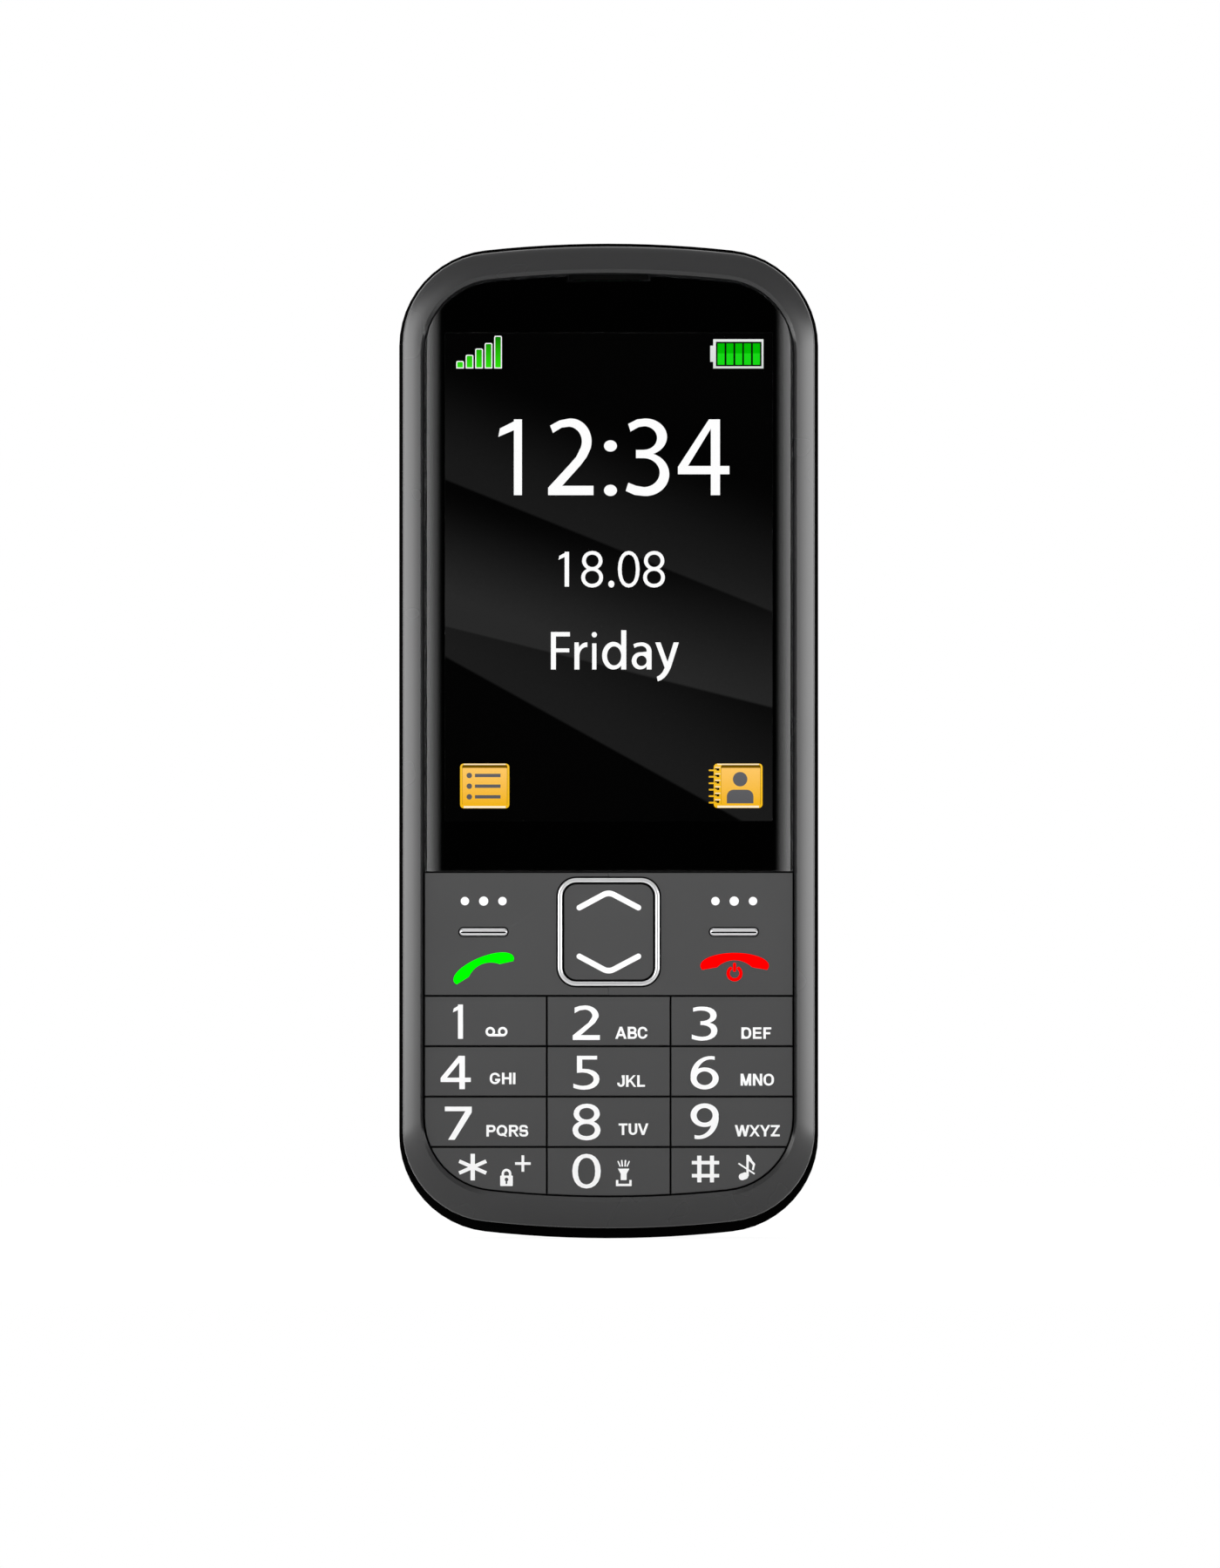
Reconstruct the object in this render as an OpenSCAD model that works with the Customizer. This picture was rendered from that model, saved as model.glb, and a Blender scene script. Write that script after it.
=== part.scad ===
// Feature phone: an upright bar phone with a display, a keypad and a lift-off battery cover.
// Every piece is drawn lying flat, its back at z = 0 and its front towards +z, with the middle of
// the outline at x = 0, y = 0. The finished piece is then stood up: the front faces -Y, the earpiece
// end points to +Z and the bottom end rests at z = 0.

/* [Shell] */
// Width over the black shell
body_w = 52; // [50:0.5:56]
// Length over the black shell
body_l = 123.5; // [121:0.5:130]
// Corner radius of the shell's outline
corner_r = 12; // [10:0.5:13]
// Radius of the gently curved ends
end_r = 140; // [110:5:220]
// Wall of the shell
shell_wall = 1.8; // [1.5:0.1:2.1]
// Floor of the battery cover
cover_t = 1.2; // [1:0.1:1.6]
// Height of the battery cover's rounded rim
cover_rim = 3; // [2.6:0.1:3.6]
// How far the back edge rounds in from the sides
back_round = 3.5; // [2.6:0.1:4.5]
// Rounding of the shell's front edge
shell_edge = 0.3; // [0.1:0.05:0.4]
// How far the shell reaches in front of the main board
shell_lap = 0.9; // [0.6:0.1:1.2]
// Gap along the shell's seams
seam_gap = 0.15; // [0.1:0.05:0.25]
// Clearance between pieces that drop into each other
fit_gap = 0.15; // [0.1:0.05:0.25]

/* [Front bezel] */
// Shell showing beside the bezel
ledge_side = 0.5; // [0.3:0.1:0.8]
// Shell showing above the bezel
ledge_top = 0.51; // [0.3:0.01:0.9]
// Shell showing below the bezel
ledge_bottom = 1.37; // [0.6:0.01:1.6]
// Width of the bezel's side rails
rail_side = 2.52; // [2.2:0.02:3]
// Width of the bezel's top rail
rail_top = 3.29; // [2.8:0.01:4]
// Width of the bezel's bottom rail
rail_bottom = 3.84; // [3.2:0.01:4.6]
// How much tighter the bezel's corners are than the shell's
bezel_corner_cut = 0.7; // [0.4:0.1:1]
// Corner radius of the bezel's opening
opening_r = 9.2; // [7:0.1:10]
// Wall of the bezel
bezel_wall = 1.25; // [1:0.05:1.5]
// How far the bezel's crest stands above the window and the keys
crest_rise = 0.45; // [0.3:0.05:0.7]
// How far the bezel's face falls from its crest to its outer edge
face_fall = 1; // [0.6:0.1:1.4]
// Rounding of the bezel's outer edge
bezel_edge = 0.4; // [0.2:0.05:0.6]

/* [Display] */
// Width of the lit area
screen_w = 40.65; // [38:0.05:41]
// Length of the lit area
screen_l = 60.55; // [56:0.05:61]
// From the top of the bezel's opening to the lit area
screen_top = 7.35; // [6.8:0.05:8]
// Thickness of the window
lens_t = 1.2; // [1:0.1:1.5]
// Width of the window's rolled side edges
lens_roll = 2.3; // [1.6:0.1:2.8]
// How far the rolled edges fall
lens_fall = 0.5; // [0.3:0.05:0.6]
// Width of the earpiece slot in the window's top edge
slot_w = 10; // [8:0.5:12]
// Depth of the earpiece slot
slot_l = 0.7; // [0.5:0.1:1]
// Thickness of the adhesive under the window
tape_t = 0.15; // [0.1:0.05:0.25]
// Width of the adhesive's side strips
tape_w = 2.28; // [1.8:0.02:2.6]
// Glass border of the display panel at its top and sides
panel_border = 0.85; // [0.6:0.05:1.1]
// Glass border of the display panel at its bottom
panel_chin = 3; // [2.4:0.1:3.2]
// Thickness of the display panel
panel_t = 1.1; // [0.9:0.1:1.4]
// Thickness of the backlight
backlight_t = 1.2; // [1:0.1:1.6]
// Thickness of the display's flat cable
flex_t = 0.1; // [0.1:0.05:0.2]
// Width of the display's flat cable
flex_w = 16; // [10:1:24]

/* [Keypad] */
// Pitch of the number rows
key_row = 6.24; // [6:0.02:6.3]
// Height of the function row
function_h = 15.32; // [15:0.02:15.6]
// Gap between neighbouring keys
line_gap = 0.22; // [0.18:0.02:0.28]
// Hairline between the two function keys
split_gap = 0.1; // [0.06:0.02:0.2]
// Thickness of the keycaps
cap_t = 2.05; // [1.6:0.05:2.4]
// Travel of a key
key_travel = 0.35; // [0.25:0.05:0.4]
// Clearance left under a pressed key
stop_gap = 0.1; // [0.06:0.02:0.2]
// Radius of a key's stem
stem_r = 1.4; // [1.1:0.1:1.7]
// Radial clearance of a stem in the key guide
stem_gap = 0.08; // [0.05:0.01:0.1]
// How far a stem's foot reaches under the key guide
foot_lip = 0.3; // [0.2:0.05:0.5]
// Thickness of a stem's foot
foot_t = 0.2; // [0.15:0.05:0.3]
// Thickness of the key guide
guide_t = 0.8; // [0.6:0.1:1.2]
// Width of the ledge that the key guide sits on
ledge_w = 1; // [0.7:0.1:1.3]
// Radius of the rockers' pivots
pivot_r = 0.5; // [0.4:0.05:0.55]
// Radial clearance of a pivot in its saddle
pivot_gap = 0.05; // [0.03:0.01:0.08]
// Length of the function keys' pivots
pivot_l = 8; // [5:0.5:10]
// Distance from a rocker's pivot to each of its stems
rocker_arm = 4; // [3.6:0.1:4.2]
// How much longer the rockers' stems are, which leaves room for the end that rises
rocker_drop = 0.2; // [0.18:0.01:0.22]
// How far the outer columns' stems stand towards the middle
stem_in = 1.1; // [0.9:0.1:1.6]
// How far the bottom row's stems stand above the row's middle
stem_up = 1; // [0.8:0.1:1.1]
// Radius of a switch dome
dome_r = 2; // [1.6:0.1:2.2]
// Rise of a switch dome
dome_rise = 0.35; // [0.25:0.05:0.4]
// Thickness of the dome sheet's film
film_t = 0.1; // [0.1:0.05:0.2]

/* [Navigation key] */
// Width of the navigation key
nav_w = 11; // [10.4:0.1:11.4]
// Height of the navigation key
nav_l = 11.76; // [11.4:0.02:12]
// Corner radius of the navigation key
nav_r = 1.5; // [1:0.1:2]
// How far the navigation key sits above the middle of its row
nav_up = 0.25; // [0.1:0.05:0.4]
// Distance from the navigation key's pivot to each of its stems
nav_arm = 3.6; // [3:0.1:3.8]
// Length of the navigation key's pivot
nav_pivot_l = 5; // [3:0.5:7]
// Wall of the chrome ring
ring_wall = 0.54; // [0.4:0.02:0.6]
// Gap between the navigation key and the ring
ring_gap = 0.26; // [0.22:0.02:0.3]
// Gap between the ring and the function keys
ring_clear = 0.18; // [0.14:0.02:0.22]
// How far the ring stands above the keys
ring_rise = 0.25; // [0.1:0.05:0.4]
// Length of the chrome bars
bar_l = 6; // [5:0.1:7]
// Width of the chrome bars
bar_w = 1; // [0.8:0.05:1.2]
// Distance of the chrome bars from the middle
bar_x = 15.5; // [14.5:0.1:16.5]
// How far the bars stand above the keys
bar_rise = 0.25; // [0.1:0.05:0.35]
// Width of the groove round a bar
bar_groove = 0.12; // [0.08:0.02:0.2]
// Depth of the recess that a bar sits in
bar_recess = 0.5; // [0.4:0.05:0.6]

/* [Inside] */
// Width of the battery
battery_w = 34; // [32:0.5:35]
// Length of the battery
battery_l = 54; // [50:0.5:55]
// Thickness of the battery
battery_t = 5; // [4:0.1:6]
// Lower end of the battery, from the bottom end
battery_y = 23.75; // [23.25:0.25:24.75]
// Clearance round the battery
battery_gap = 0.15; // [0.1:0.05:0.3]
// Wall of the battery bay
bay_wall = 0.9; // [0.7:0.1:1.2]
// Thickness of the rear chassis
web_t = 0.7; // [0.6:0.1:1]
// Thickness of the main board
board_t = 0.9; // [0.8:0.1:1.2]
// Clearance between the main board and the shell
board_gap = 0.5; // [0.4:0.1:0.7]
// Thickness of the front chassis over the display
deck_t = 0.6; // [0.5:0.1:0.9]
// From the top end to the room for parts behind the main board
parts_top = 11.75; // [11:0.05:12.5]
// From the sides to the room for parts behind the main board
parts_side = 5; // [4:0.1:5.5]
// Radius of the housing screws' shanks
screw_r = 0.6; // [0.5:0.05:0.7]
// Radial clearance of the housing screws
screw_gap = 0.06; // [0.04:0.01:0.1]
// Radius of the screw heads
head_r = 1.2; // [1:0.1:1.4]
// Height of the screw heads
head_h = 0.8; // [0.6:0.1:1]
// Distance of the top screws from the sides
screw_top_x = 8.5; // [7:0.1:10]
// Distance of the top screws from the top end
screw_top_y = 7; // [6.4:0.1:7.4]
// Distance of the bottom screws from the sides
screw_end_x = 9; // [8.6:0.1:10]
// Distance of the bottom screws from the bottom end
screw_end_y = 4.7; // [4.4:0.1:5]
// Radius of the loudspeaker
speaker_r = 7.5; // [6.5:0.1:7.8]
// Depth of the loudspeaker
speaker_h = 3.6; // [3:0.1:4]
// Sound slots in the battery cover
speaker_slots = 5; // [3:1:6]
// Length of a sound slot
sound_l = 9; // [7:0.5:11]
// Width of a sound slot
sound_w = 0.9; // [0.6:0.1:1.2]
// Pitch of the sound slots
sound_pitch = 2; // [1.6:0.1:2.2]
// Thickness of the dust meshes
mesh_t = 0.2; // [0.15:0.05:0.3]
// Width of the earpiece
earpiece_w = 12; // [10:0.5:13]
// Height of the earpiece
earpiece_l = 4.6; // [4:0.1:4.8]
// Depth of the earpiece
earpiece_t = 2; // [1.6:0.1:2.2]
// Height of the shield cans
can_h = 1.6; // [1.2:0.1:2]
// Width of the SIM holder
sim_w = 27; // [26:0.5:27]
// Length of the SIM holder
sim_l = 15; // [14.5:0.1:15.2]
// Height of the SIM holder
sim_h = 1.35; // [1.2:0.05:1.6]
// Width of the charging socket
usb_w = 7.5; // [7:0.1:8]
// Height of the charging socket
usb_h = 2.6; // [2.4:0.1:2.8]
// Depth of the charging socket
usb_l = 5; // [4.5:0.1:5.2]
// How far the charging socket's mouth lies inside the bottom end
usb_in = 0.8; // [0.5:0.1:1]
// Radius of the vibration motor
motor_r = 2; // [1.7:0.1:2.2]
// Length of the vibration motor
motor_l = 8; // [6:0.5:9]
// Radius of the motor's shaft
shaft_r = 0.4; // [0.3:0.05:0.5]
// Radial clearance of the weight on the shaft
shaft_gap = 0.03; // [0.02:0.01:0.05]
// Length of the motor's weight
weight_l = 3; // [2:0.5:3.5]
// Clearance between the weight and the motor
weight_gap = 0.3; // [0.2:0.05:0.4]
// Radius of the torch lens
torch_r = 1.8; // [1.5:0.1:2]
// Width of the antenna's track, and of the gaps in it
antenna_track = 1; // [0.8:0.1:1.2]
// Length of the antenna's tracks
antenna_l = 6; // [5:0.5:6.5]
// Clearance between the antenna and the screw head beside it
antenna_gap = 1.3; // [1:0.1:1.6]
// Depth of the torch's diode
led_l = 1.6; // [1.2:0.1:2]
// Clearance between the torch's diode and the shell
led_gap = 0.8; // [0.6:0.1:1]
// Width of the battery contact block
contact_w = 9; // [8:0.5:12]
// Length of the battery contact block
contact_l = 3; // [2.4:0.1:3.4]
// Height of the battery contact block
contact_h = 4.5; // [3.6:0.1:4.8]
// Radius of the sound hole at the bottom end
mic_hole_r = 0.5; // [0.3:0.1:0.8]
// Radius of the microphone
mic_r = 2; // [1.6:0.1:2.2]
// Depth of the microphone
mic_h = 1.3; // [1:0.1:1.6]

/* [Hidden] */
NUMBER_KEYS = ["key_1", "key_2", "key_3", "key_4", "key_5", "key_6", "key_7", "key_8", "key_9",
    "key_star", "key_0", "key_hash"];

// Smoothness of exact round faces, and segments of the corner and end arcs of an outline
$fn = 64;
corner_n = 12;
end_n = 12;
// Cutters reach this far past the face that they cut
over = 1;

// Heights of the stack, from the back of the battery cover to the crest of the bezel
z_seam = cover_rim;
z_battery = cover_t + battery_gap;
z_web = z_battery + battery_t + battery_gap;
z_board = z_web + web_t;
z_board_top = z_board + board_t;
z_dome_top = z_board_top + film_t + dome_rise;
z_stem = z_dome_top + key_travel + stop_gap;
z_guide = z_stem + foot_t + stop_gap / 2;
z_guide_top = z_guide + guide_t;
z_cap = z_guide_top + key_travel + stop_gap;
z_key_top = z_cap + cap_t;
z_backlight = z_board_top + flex_t;
z_panel = z_backlight + backlight_t;
z_deck = z_panel + panel_t + fit_gap / 2;
z_deck_top = z_deck + deck_t;
z_lens = z_deck_top + tape_t;
z_lens_top = z_lens + lens_t;
z_crest = max(z_lens_top, z_key_top) + crest_rise;
body_t = z_crest;
z_shell_top = z_board_top + shell_lap;
z_bezel = z_shell_top + seam_gap;

// Outlines: the bezel lies a little above the middle of the shell, and so does its opening
bezel_a = body_w / 2 - ledge_side;
bezel_y1 = body_l / 2 - ledge_top;
bezel_y0 = -body_l / 2 + ledge_bottom;
bezel_r = corner_r - bezel_corner_cut;
opening_a = bezel_a - rail_side;
opening_y1 = bezel_y1 - rail_top;
opening_y0 = bezel_y0 + rail_bottom;

// Lines of the key grid
key_col = 2 * opening_a / 3;
function_y0 = opening_y0 + 4 * key_row;
keypad_y1 = function_y0 + function_h;
nav_y = function_y0 + function_h / 2 + nav_up;
ring_w = nav_w + 2 * (ring_gap + ring_wall);
ring_l = nav_l + 2 * (ring_gap + ring_wall);

// Display
screen_y1 = opening_y1 - screen_top;
screen_y0 = screen_y1 - screen_l;
panel_w = screen_w + 2 * panel_border;
panel_y0 = screen_y0 - panel_chin;
panel_y1 = screen_y1 + panel_border;

// Inside: the parts above the battery, and those at the two ends
battery_y0 = battery_y - body_l / 2;
battery_y1 = battery_y0 + battery_l;
bay_x = battery_w / 2 + battery_gap + bay_wall;
bay_y0 = battery_y0 - battery_gap - bay_wall;
bay_y1 = battery_y1 + battery_gap + bay_wall;
parts_y0 = bay_y1 + fit_gap;
parts_y1 = body_l / 2 - parts_top;
parts_x = body_w / 2 - parts_side;
speaker_x = -parts_x / 2;
speaker_y = parts_y1 - speaker_r - over;
motor_x = motor_l / 2 + over - parts_x;
motor_y = parts_y0 + fit_gap + motor_r;
motor_z = z_board - motor_r - weight_gap / 2;
earpiece_y = (panel_y1 + opening_y1) / 2;
sim_y = bay_y0 - 2 * fit_gap - sim_l;
usb_y = usb_in - body_l / 2;
mic_x = usb_w / 2 + mic_r + 3 * over;
mic_y = -body_l / 2 + shell_wall + board_gap + mic_r;
torch_z = z_board - torch_r - fit_gap;
led_y1 = body_l / 2 - shell_wall - led_gap;
// Screws: two at the top end, two in the bar between display and keypad, two at the bottom end
screw_places = [[body_w / 2 - screw_top_x, body_l / 2 - screw_top_y],
    [panel_w / 2 - head_r, (panel_y0 + keypad_y1) / 2],
    [body_w / 2 - screw_end_x, screw_end_y - body_l / 2]];
screw_tip = z_deck_top - deck_t;

// Points of an arc, as n + 1 points from angle a0 to a1
function arc(c, r, a0, a1, n) =
    [for (i = [0:n]) c + r * [cos(a0 + (a1 - a0) * i / n), sin(a0 + (a1 - a0) * i / n)]];
function tail(points) = [for (i = [1:len(points) - 1]) points[i]];

// A rectangle with round corners and bowed ends: half-width a, from y0 to y1, corner radius rc and
// end radius re. All of its edges meet smoothly, and every outline has the same number of points.
function bowed(a, y0, y1, rc, re) =
    let (cx = a - rc,
        rise = sqrt(pow(re - rc, 2) - cx * cx),
        bend = atan2(rise, cx),
        top = y1 - re + rise,
        bottom = y0 + re - rise)
    concat(arc([cx, top], rc, 0, bend, corner_n),
        tail(arc([0, y1 - re], re, bend, 180 - bend, end_n)),
        tail(arc([-cx, top], rc, 180 - bend, 180, corner_n)),
        arc([-cx, bottom], rc, 180, 180 + bend, corner_n),
        tail(arc([0, y0 + re], re, 180 + bend, 360 - bend, end_n)),
        tail(arc([cx, bottom], rc, 360 - bend, 360, corner_n)));

// The three outlines, each drawn in by d
function shell(d) =
    bowed(body_w / 2 - d, d - body_l / 2, body_l / 2 - d, corner_r - d, end_r - d);
function bezel(d) = bowed(bezel_a - d, bezel_y0 + d, bezel_y1 - d, bezel_r - d, end_r - d);
function opening(d) =
    bowed(opening_a - d, opening_y0 + d, opening_y1 - d, opening_r - d, end_r - d);

// An outline part of the way, t, from the bezel's outer edge to its opening
function across(t) = let (a = bezel(0), b = opening(0))
    [for (i = [0:len(a) - 1]) (1 - t) * a[i] + t * b[i]];

// One ring of a skin: an outline lifted to a height
function ring(outline, z) = [for (p = outline) [p[0], p[1], z]];

// Triangles between neighbouring rings of n points
function bands(n, first, second) = [for (i = [0:n - 1]) let (j = (i + 1) % n)
    each [[first + i, second + i, second + j], [first + i, second + j, first + j]]];

// A frame whose section closes on itself
module skin_loop(rings) {
    n = len(rings[0]);
    m = len(rings);
    polyhedron([for (r = rings) each r],
        [for (k = [0:m - 1]) each bands(n, k * n, ((k + 1) % m) * n)]);
}

// A dish or block, closed by a flat face at its first and at its last ring
module skin_cap(rings) {
    n = len(rings[0]);
    m = len(rings);
    polyhedron([for (r = rings) each r],
        concat([[for (i = [0:n - 1]) i]],
            [for (k = [0:m - 2]) each bands(n, k * n, (k + 1) * n)],
            [[for (i = [n - 1:-1:0]) (m - 1) * n + i]]));
}

// Stands a flat-drawn piece upright on its bottom end
module upright() {
    translate([0, body_t / 2, body_l / 2]) rotate([90, 0, 0]) children();
}

// A plate between two heights from a flat shape
module plate(z0, z1) {
    translate([0, 0, z0]) linear_extrude(z1 - z0) children();
}

// A box between two corners
module box(a, b) {
    translate(a) cube(b - a);
}

// A rectangle with round corners, centred
module rounded(w, l, r) {
    square([w - 2 * r, l], center = true);
    square([w, l - 2 * r], center = true);
    for (x = [-1, 1], y = [-1, 1]) translate([x * (w / 2 - r), y * (l / 2 - r)]) circle(r);
}

// A slot with round ends, centred
module stadium(l, w) {
    square([l - w, w], center = true);
    for (x = [-1, 1]) translate([x * (l - w) / 2, 0]) circle(w / 2);
}

// A rectangle from x0, y0 to x1, y1
module span(x0, y0, x1, y1) {
    translate([x0, y0]) square([x1 - x0, y1 - y0]);
}

// The part of the opening below the window, drawn in by d
module keypad_area(d, below) {
    intersection() {
        polygon(opening(d));
        span(-body_w, -body_l, body_w, keypad_y1 - below);
    }
}

// Where the stems go: one under each number key, two under each rocker
function number_y(row) = function_y0 - (row + 0.5) * key_row;
function number_stem(row, col) =
    [col * (key_col - stem_in), number_y(row) + (row == 3 ? stem_up : 0)];
number_stems = [for (row = [0:3], col = [-1:1]) number_stem(row, col)];
function rocker_stems(x, arm) = [[x, nav_y - arm], [x, nav_y + arm]];
all_stems = concat(number_stems, rocker_stems(-bar_x, rocker_arm), rocker_stems(bar_x, rocker_arm),
    rocker_stems(0, nav_arm));

module front_bezel() {
    // Tilts of the face at its outer edge and at its crest, and the share of the rail that it takes
    tilt_out = 42;
    tilt_in = 10;
    crest_t = 0.86;
    edge_t = 0.06;
    steps = 6;
    z_edge = z_crest - face_fall;
    face = [for (k = [0:steps]) let (tilt = tilt_out + (tilt_in - tilt_out) * k / steps)
        ring(across(edge_t + (crest_t - edge_t) * (sin(tilt_out) - sin(tilt))
                / (sin(tilt_out) - sin(tilt_in))),
            z_edge + face_fall * (cos(tilt) - cos(tilt_out)) / (cos(tilt_in) - cos(tilt_out)))];
    lip = z_deck_top + fit_gap / 2;
    color("dimgray") upright() skin_loop(concat(
        [ring(bezel(0), z_bezel), ring(bezel(0), z_edge - bezel_edge),
            ring(across(edge_t / 3), z_edge - bezel_edge / 3)],
        face,
        [ring(across(1), z_crest - crest_rise), ring(across(1), lip),
            ring(bezel(bezel_wall), lip), ring(bezel(bezel_wall), z_bezel)]));
}

module rear_housing() {
    color("black") upright() difference() {
        skin_loop([ring(shell(0), z_seam + seam_gap), ring(shell(0), z_shell_top - 3 * shell_edge),
            ring(shell(shell_edge / 3), z_shell_top - shell_edge),
            ring(shell(shell_edge), z_shell_top), ring(shell(shell_wall), z_shell_top),
            ring(shell(shell_wall), z_seam + seam_gap)]);
        // Charging socket and microphone at the bottom end, torch at the top end
        box([-usb_w / 2 - fit_gap, -body_l / 2 - over, z_board - usb_h - fit_gap],
            [usb_w / 2 + fit_gap, usb_y + usb_l, z_board + fit_gap]);
        translate([mic_x, -body_l / 2 - over, z_board - mic_h / 2]) rotate([-90, 0, 0])
            cylinder(r = mic_hole_r, h = 2 * over + 2 * shell_wall);
        translate([0, body_l / 2 + over, torch_z]) rotate([90, 0, 0])
            cylinder(r = torch_r + fit_gap / 2, h = 2 * over + 2 * shell_wall);
    }
}

module battery_cover() {
    steps = 7;
    outer = [for (k = [0:steps]) let (turn = 90 * k / steps)
        ring(shell(back_round * (1 - sin(turn))), z_seam * (1 - cos(turn)))];
    // Chamfer between the floor and the rim, inside
    chamfer = 0.8;
    hook_l = 8;
    hook_t = 0.8;
    hook_rise = 1.2;
    hook_x = body_w / 2 - shell_wall - fit_gap;
    hook_z = cover_t + chamfer - fit_gap;
    hook_pitch = 36;
    hook_mid = 4;
    color("black") upright() difference() {
        union() {
            skin_cap(concat(outer, [ring(shell(shell_wall), z_seam),
                ring(shell(shell_wall), cover_t + chamfer),
                ring(shell(shell_wall + chamfer), cover_t)]));
            // Snap tongues that hold inside the shell, each on a foot that joins it to the rim
            for (side = [0, 1], k = [-1:1]) mirror([side, 0, 0])
                translate([hook_x - hook_t, hook_mid + k * hook_pitch - hook_l / 2, hook_z]) {
                    cube([hook_t, hook_l, z_seam + hook_rise - hook_z]);
                    cube([hook_t + 2 * fit_gap, hook_l, z_seam - fit_gap - hook_z]);
                }
        }
        // Sound slots over the loudspeaker
        for (k = [0:speaker_slots - 1])
            translate([speaker_x, speaker_y + (k - (speaker_slots - 1) / 2) * sound_pitch, -over])
                linear_extrude(cover_t + 2 * over) stadium(sound_l, sound_w);
    }
}

module speaker_mesh() {
    color("gray") upright() plate(cover_t, cover_t + mesh_t)
        translate([speaker_x, speaker_y]) circle(speaker_r - mesh_t);
}

module rear_chassis() {
    color("darkslategray") upright() difference() {
        union() {
            plate(z_web, z_board) polygon(shell(shell_wall + fit_gap));
            // Walls of the battery bay
            plate(cover_t + 2 * battery_gap, z_web + over / 4) difference() {
                span(-bay_x, bay_y0, bay_x, bay_y1);
                span(bay_wall - bay_x, bay_y0 + bay_wall, bay_x - bay_wall, bay_y1 - bay_wall);
            }
        }
        // Room for the parts on the back of the main board
        plate(z_web - over, z_board + over) {
            span(-parts_x, parts_y0, parts_x, parts_y1);
            span(-sim_w / 2 - fit_gap, sim_y - fit_gap, sim_w / 2 + fit_gap, sim_y + sim_l + fit_gap);
            span(-usb_w / 2 - fit_gap, -body_l, usb_w / 2 + fit_gap, usb_y + usb_l + fit_gap);
            translate([mic_x, mic_y]) circle(mic_r + fit_gap);
            span(-torch_r - fit_gap, led_y1 - led_l - fit_gap, torch_r + fit_gap, body_l);
        }
        // Notch for the battery contacts
        box([-contact_w / 2 - fit_gap, battery_y1, cover_t],
            [contact_w / 2 + fit_gap, parts_y0 + over, z_board + over]);
        screw_holes(z_web - over, z_board + over);
    }
}

// Holes for the housing screws between two heights
module screw_holes(z0, z1) {
    for (side = [-1, 1], place = screw_places)
        translate([side * place[0], place[1], z0]) cylinder(r = screw_r + screw_gap, h = z1 - z0);
}

module housing_screws() {
    color("silver") upright() for (side = [-1, 1], place = screw_places)
        translate([side * place[0], place[1], 0]) difference() {
            union() {
                translate([0, 0, z_web - head_h]) cylinder(r = head_r, h = head_h);
                translate([0, 0, z_web - head_h / 2])
                    cylinder(r = screw_r, h = screw_tip - screw_gap - z_web + head_h / 2);
            }
            // Cross recess
            for (turn = [0, 90]) rotate([0, 0, turn]) box([-screw_r, -screw_r / 4, z_web - head_h - over],
                [screw_r, screw_r / 4, z_web - head_h / 2]);
        }
}

module main_board() {
    color("darkgreen") upright() difference() {
        plate(z_board, z_board_top) polygon(shell(shell_wall + board_gap));
        screw_holes(z_board - over, z_board_top + over);
    }
}

module front_chassis() {
    color("darkslategray") upright() difference() {
        plate(z_board_top, z_deck_top) intersection() {
            polygon(bezel(bezel_wall + fit_gap));
            polygon(shell(shell_wall + fit_gap));
        }
        // Pocket and window for the display
        plate(z_board_top - over, z_deck) span(-panel_w / 2 - fit_gap, panel_y0 - fit_gap,
            panel_w / 2 + fit_gap, panel_y1 + fit_gap);
        plate(z_board_top - over, z_deck_top + over)
            span(-screen_w / 2, screen_y0, screen_w / 2, screen_y1);
        // Keypad opening, with the ledge that the key guide sits on
        plate(z_guide, z_deck_top + over) keypad_area(0, 0);
        plate(z_board_top - over, z_deck_top + over) keypad_area(ledge_w, ledge_w);
        // Earpiece pocket and its sound path
        plate(z_board_top - over, z_deck) translate([0, earpiece_y])
            stadium(earpiece_w + 2 * fit_gap, earpiece_l + 2 * fit_gap);
        plate(z_board_top, z_deck_top + over) span(over - slot_w / 2, earpiece_y,
            slot_w / 2 - over, opening_y1 - line_gap - slot_l / 3);
        screw_holes(z_board_top - over, screw_tip);
    }
}

// The flat outline of the window, drawn in by d
module lens_area(d) {
    difference() {
        intersection() {
            polygon(opening(line_gap + d));
            span(-body_w, keypad_y1 + line_gap / 2 + d, body_w, body_l);
        }
        span(-slot_w / 2 - d, opening_y1 - line_gap - slot_l - d, slot_w / 2 + d, body_l);
    }
}

module display_lens() {
    // The rolled edge is an arc that starts level and falls by lens_fall over lens_roll
    roll_r = (lens_roll * lens_roll + lens_fall * lens_fall) / (2 * lens_fall);
    roll_turn = asin(lens_roll / roll_r);
    edge_x = opening_a - line_gap;
    steps = 6;
    right = arc([edge_x - lens_roll, z_lens_top - roll_r], roll_r, 90 - roll_turn, 90, steps);
    left = [for (k = [steps:-1:0]) [-right[k][0], right[k][1]]];
    section = concat([[-edge_x - over, z_lens - over], [edge_x + over, z_lens - over],
        [edge_x + over, right[0][1]]], right, left, [[-edge_x - over, right[0][1]]]);
    color("black") upright() intersection() {
        plate(z_lens, z_lens_top + over) lens_area(0);
        rotate([90, 0, 0]) linear_extrude(body_l, center = true) polygon(section);
    }
}

module lens_adhesive() {
    inner_x = opening_a - line_gap - fit_gap - tape_w;
    color("white") upright() plate(z_deck_top, z_lens) difference() {
        lens_area(fit_gap);
        span(-inner_x, screen_y0, inner_x, screen_y1);
    }
}

module earpiece_mesh() {
    color("gray") upright() plate(z_deck_top, z_lens + lens_t / 2) span(-slot_w / 2 + fit_gap / 2,
        opening_y1 - line_gap - slot_l + fit_gap / 2, slot_w / 2 - fit_gap / 2,
        opening_y1 - line_gap);
}

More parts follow.
